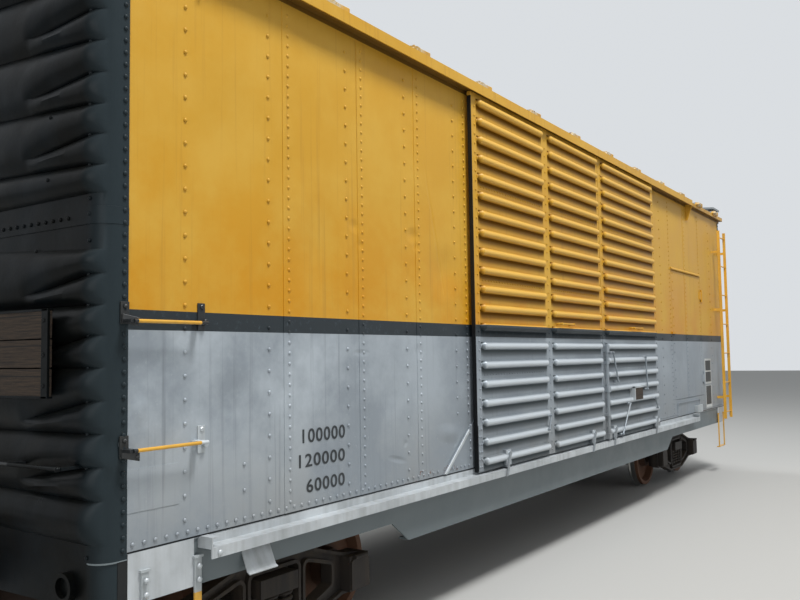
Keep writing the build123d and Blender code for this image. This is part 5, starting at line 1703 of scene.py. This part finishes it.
@dataclass
class Studio:
    """The plain floor, the soft lights and the camera at the photograph's angle.

    A lamp is its name, its place, the point it faces, its width and its power in watts.
    """

    focal_px: float = 830.96
    image_width_px: float = 800.0
    sensor_mm: float = 36.0
    eye: Point = (-8.809, -4.855, 2.023)
    yaw: float = math.radians(33.893)
    pitch: float = math.radians(3.844)
    roll: float = math.radians(-0.900)
    floor_tone: str = "B9B9B6"
    backdrop: str = "E9EDF1"
    light_strength: float = 0.42
    backdrop_strength: float = 0.86
    lamps: tuple[tuple[str, Point, Point, float, float], ...] = (
        ("key", (-3.0, -9.0, 19.0), (0, -1.0, 2.0), 4, 3900),
        ("fill", (-17, -7, 6), (-5, 0, 2), 8, 380),
        ("back", (8, 16, 14), (0, 1, 2), 9, 1800))

    @staticmethod
    def place(name: str, data: bpy.types.ID) -> Piece:
        """Puts a camera or a lamp into the scene. Returns its object."""
        thing = bpy.data.objects.new(name, data)
        bpy.context.scene.collection.objects.link(thing)
        return thing

    def camera(self) -> None:
        """Sets the camera where the photographer stood."""
        flat = math.cos(self.pitch)
        forward = Vector((math.cos(self.yaw) * flat, math.sin(self.yaw) * flat, math.sin(self.pitch)))
        level = Vector((math.sin(self.yaw), -math.cos(self.yaw), 0))
        rise = level.cross(forward)
        right = level * math.cos(self.roll) + rise * math.sin(self.roll)
        up = rise * math.cos(self.roll) - level * math.sin(self.roll)
        data = bpy.data.cameras.new("camera")
        data.sensor_width = self.sensor_mm
        data.lens = self.focal_px / self.image_width_px * self.sensor_mm
        data.clip_end = 200
        camera = self.place("camera", data)
        turn = Matrix((right, up, -forward)).transposed().to_4x4()
        camera.matrix_world = Matrix.Translation(self.eye) @ turn
        bpy.context.scene.camera = camera

    def lights(self) -> None:
        """Hangs the soft square lamps."""
        for name, place, target, size, power in self.lamps:
            data = bpy.data.lights.new(name, "AREA")
            data.size = size
            data.energy = power
            lamp = self.place(name, data)
            lamp.location = place
            lamp.rotation_euler = (Vector(target) - Vector(place)).to_track_quat("-Z", "Y").to_euler()

    def floor(self) -> None:
        """Lays the pale floor."""
        Workshop.deselect()
        bpy.ops.mesh.primitive_plane_add(size=160, location=(0, 0, 0))
        ground = bpy.context.object
        ground.name = "studio_floor"
        material = bpy.data.materials.new("pale_studio_floor")
        material.use_nodes = True
        ground.data.materials.append(
            Surface.close(material, {"Base Color": self.floor_tone, "Roughness": 0.9}))

    def world(self) -> None:
        """Sets the even light from all round, and the pale backdrop that the camera sees."""
        world = bpy.data.worlds.new("pale_studio")
        bpy.context.scene.world = world
        world.use_nodes = True
        add = partial(add_node, world.node_tree)
        path = add("LightPath").node.outputs
        seen = path["Is Camera Ray"]
        for ray in ("Is Glossy Ray", "Is Transmission Ray"):
            seen = add("Math", {0: seen, 1: path[ray]}, operation="MAXIMUM")
        strength = add("MapRange", {
            "Value": seen, "To Min": self.light_strength, "To Max": self.backdrop_strength})
        feed(world.node_tree, world.node_tree.nodes["Background"], {
            "Color": self.backdrop, "Strength": strength})

    def build(self) -> None:
        """Builds camera, floor, world and lamps."""
        self.camera()
        self.floor()
        self.world()
        self.lights()
        bpy.context.scene.view_settings.view_transform = "Standard"


def main() -> None:
    """Builds the looks of the whole car and its studio."""
    logging.basicConfig(level=logging.INFO, format="%(message)s")
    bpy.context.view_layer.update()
    palette = Palette()
    Dressing(palette).apply()
    SideSheets(palette).build()
    SideFurniture(palette).build()
    RoofTrim(palette).build()
    PressedEnds(palette).build()
    wide = {"stiles": (3.500, 4.938, 6.374), "columns": ((3.525, 4.8745), (5.002, 6.3515)),
            "patch": (3.446, 3.519, 1.062, 1.455)}
    narrow = {"stiles": (6.476, 8.408), "columns": ((6.491, 8.365),)}
    for side, turned in (("near", False), ("far", True)):
        DoorLeaf(palette, f"{side}_wide_door", **wide, turned=turned).build()
        DoorLeaf(palette, f"{side}_narrow_door", **narrow, turned=turned, has_board=not turned).build()
    RouteBoards(palette).build()
    Springs(palette).build()
    Studio().build()


if __name__ == "__main__":
    main()
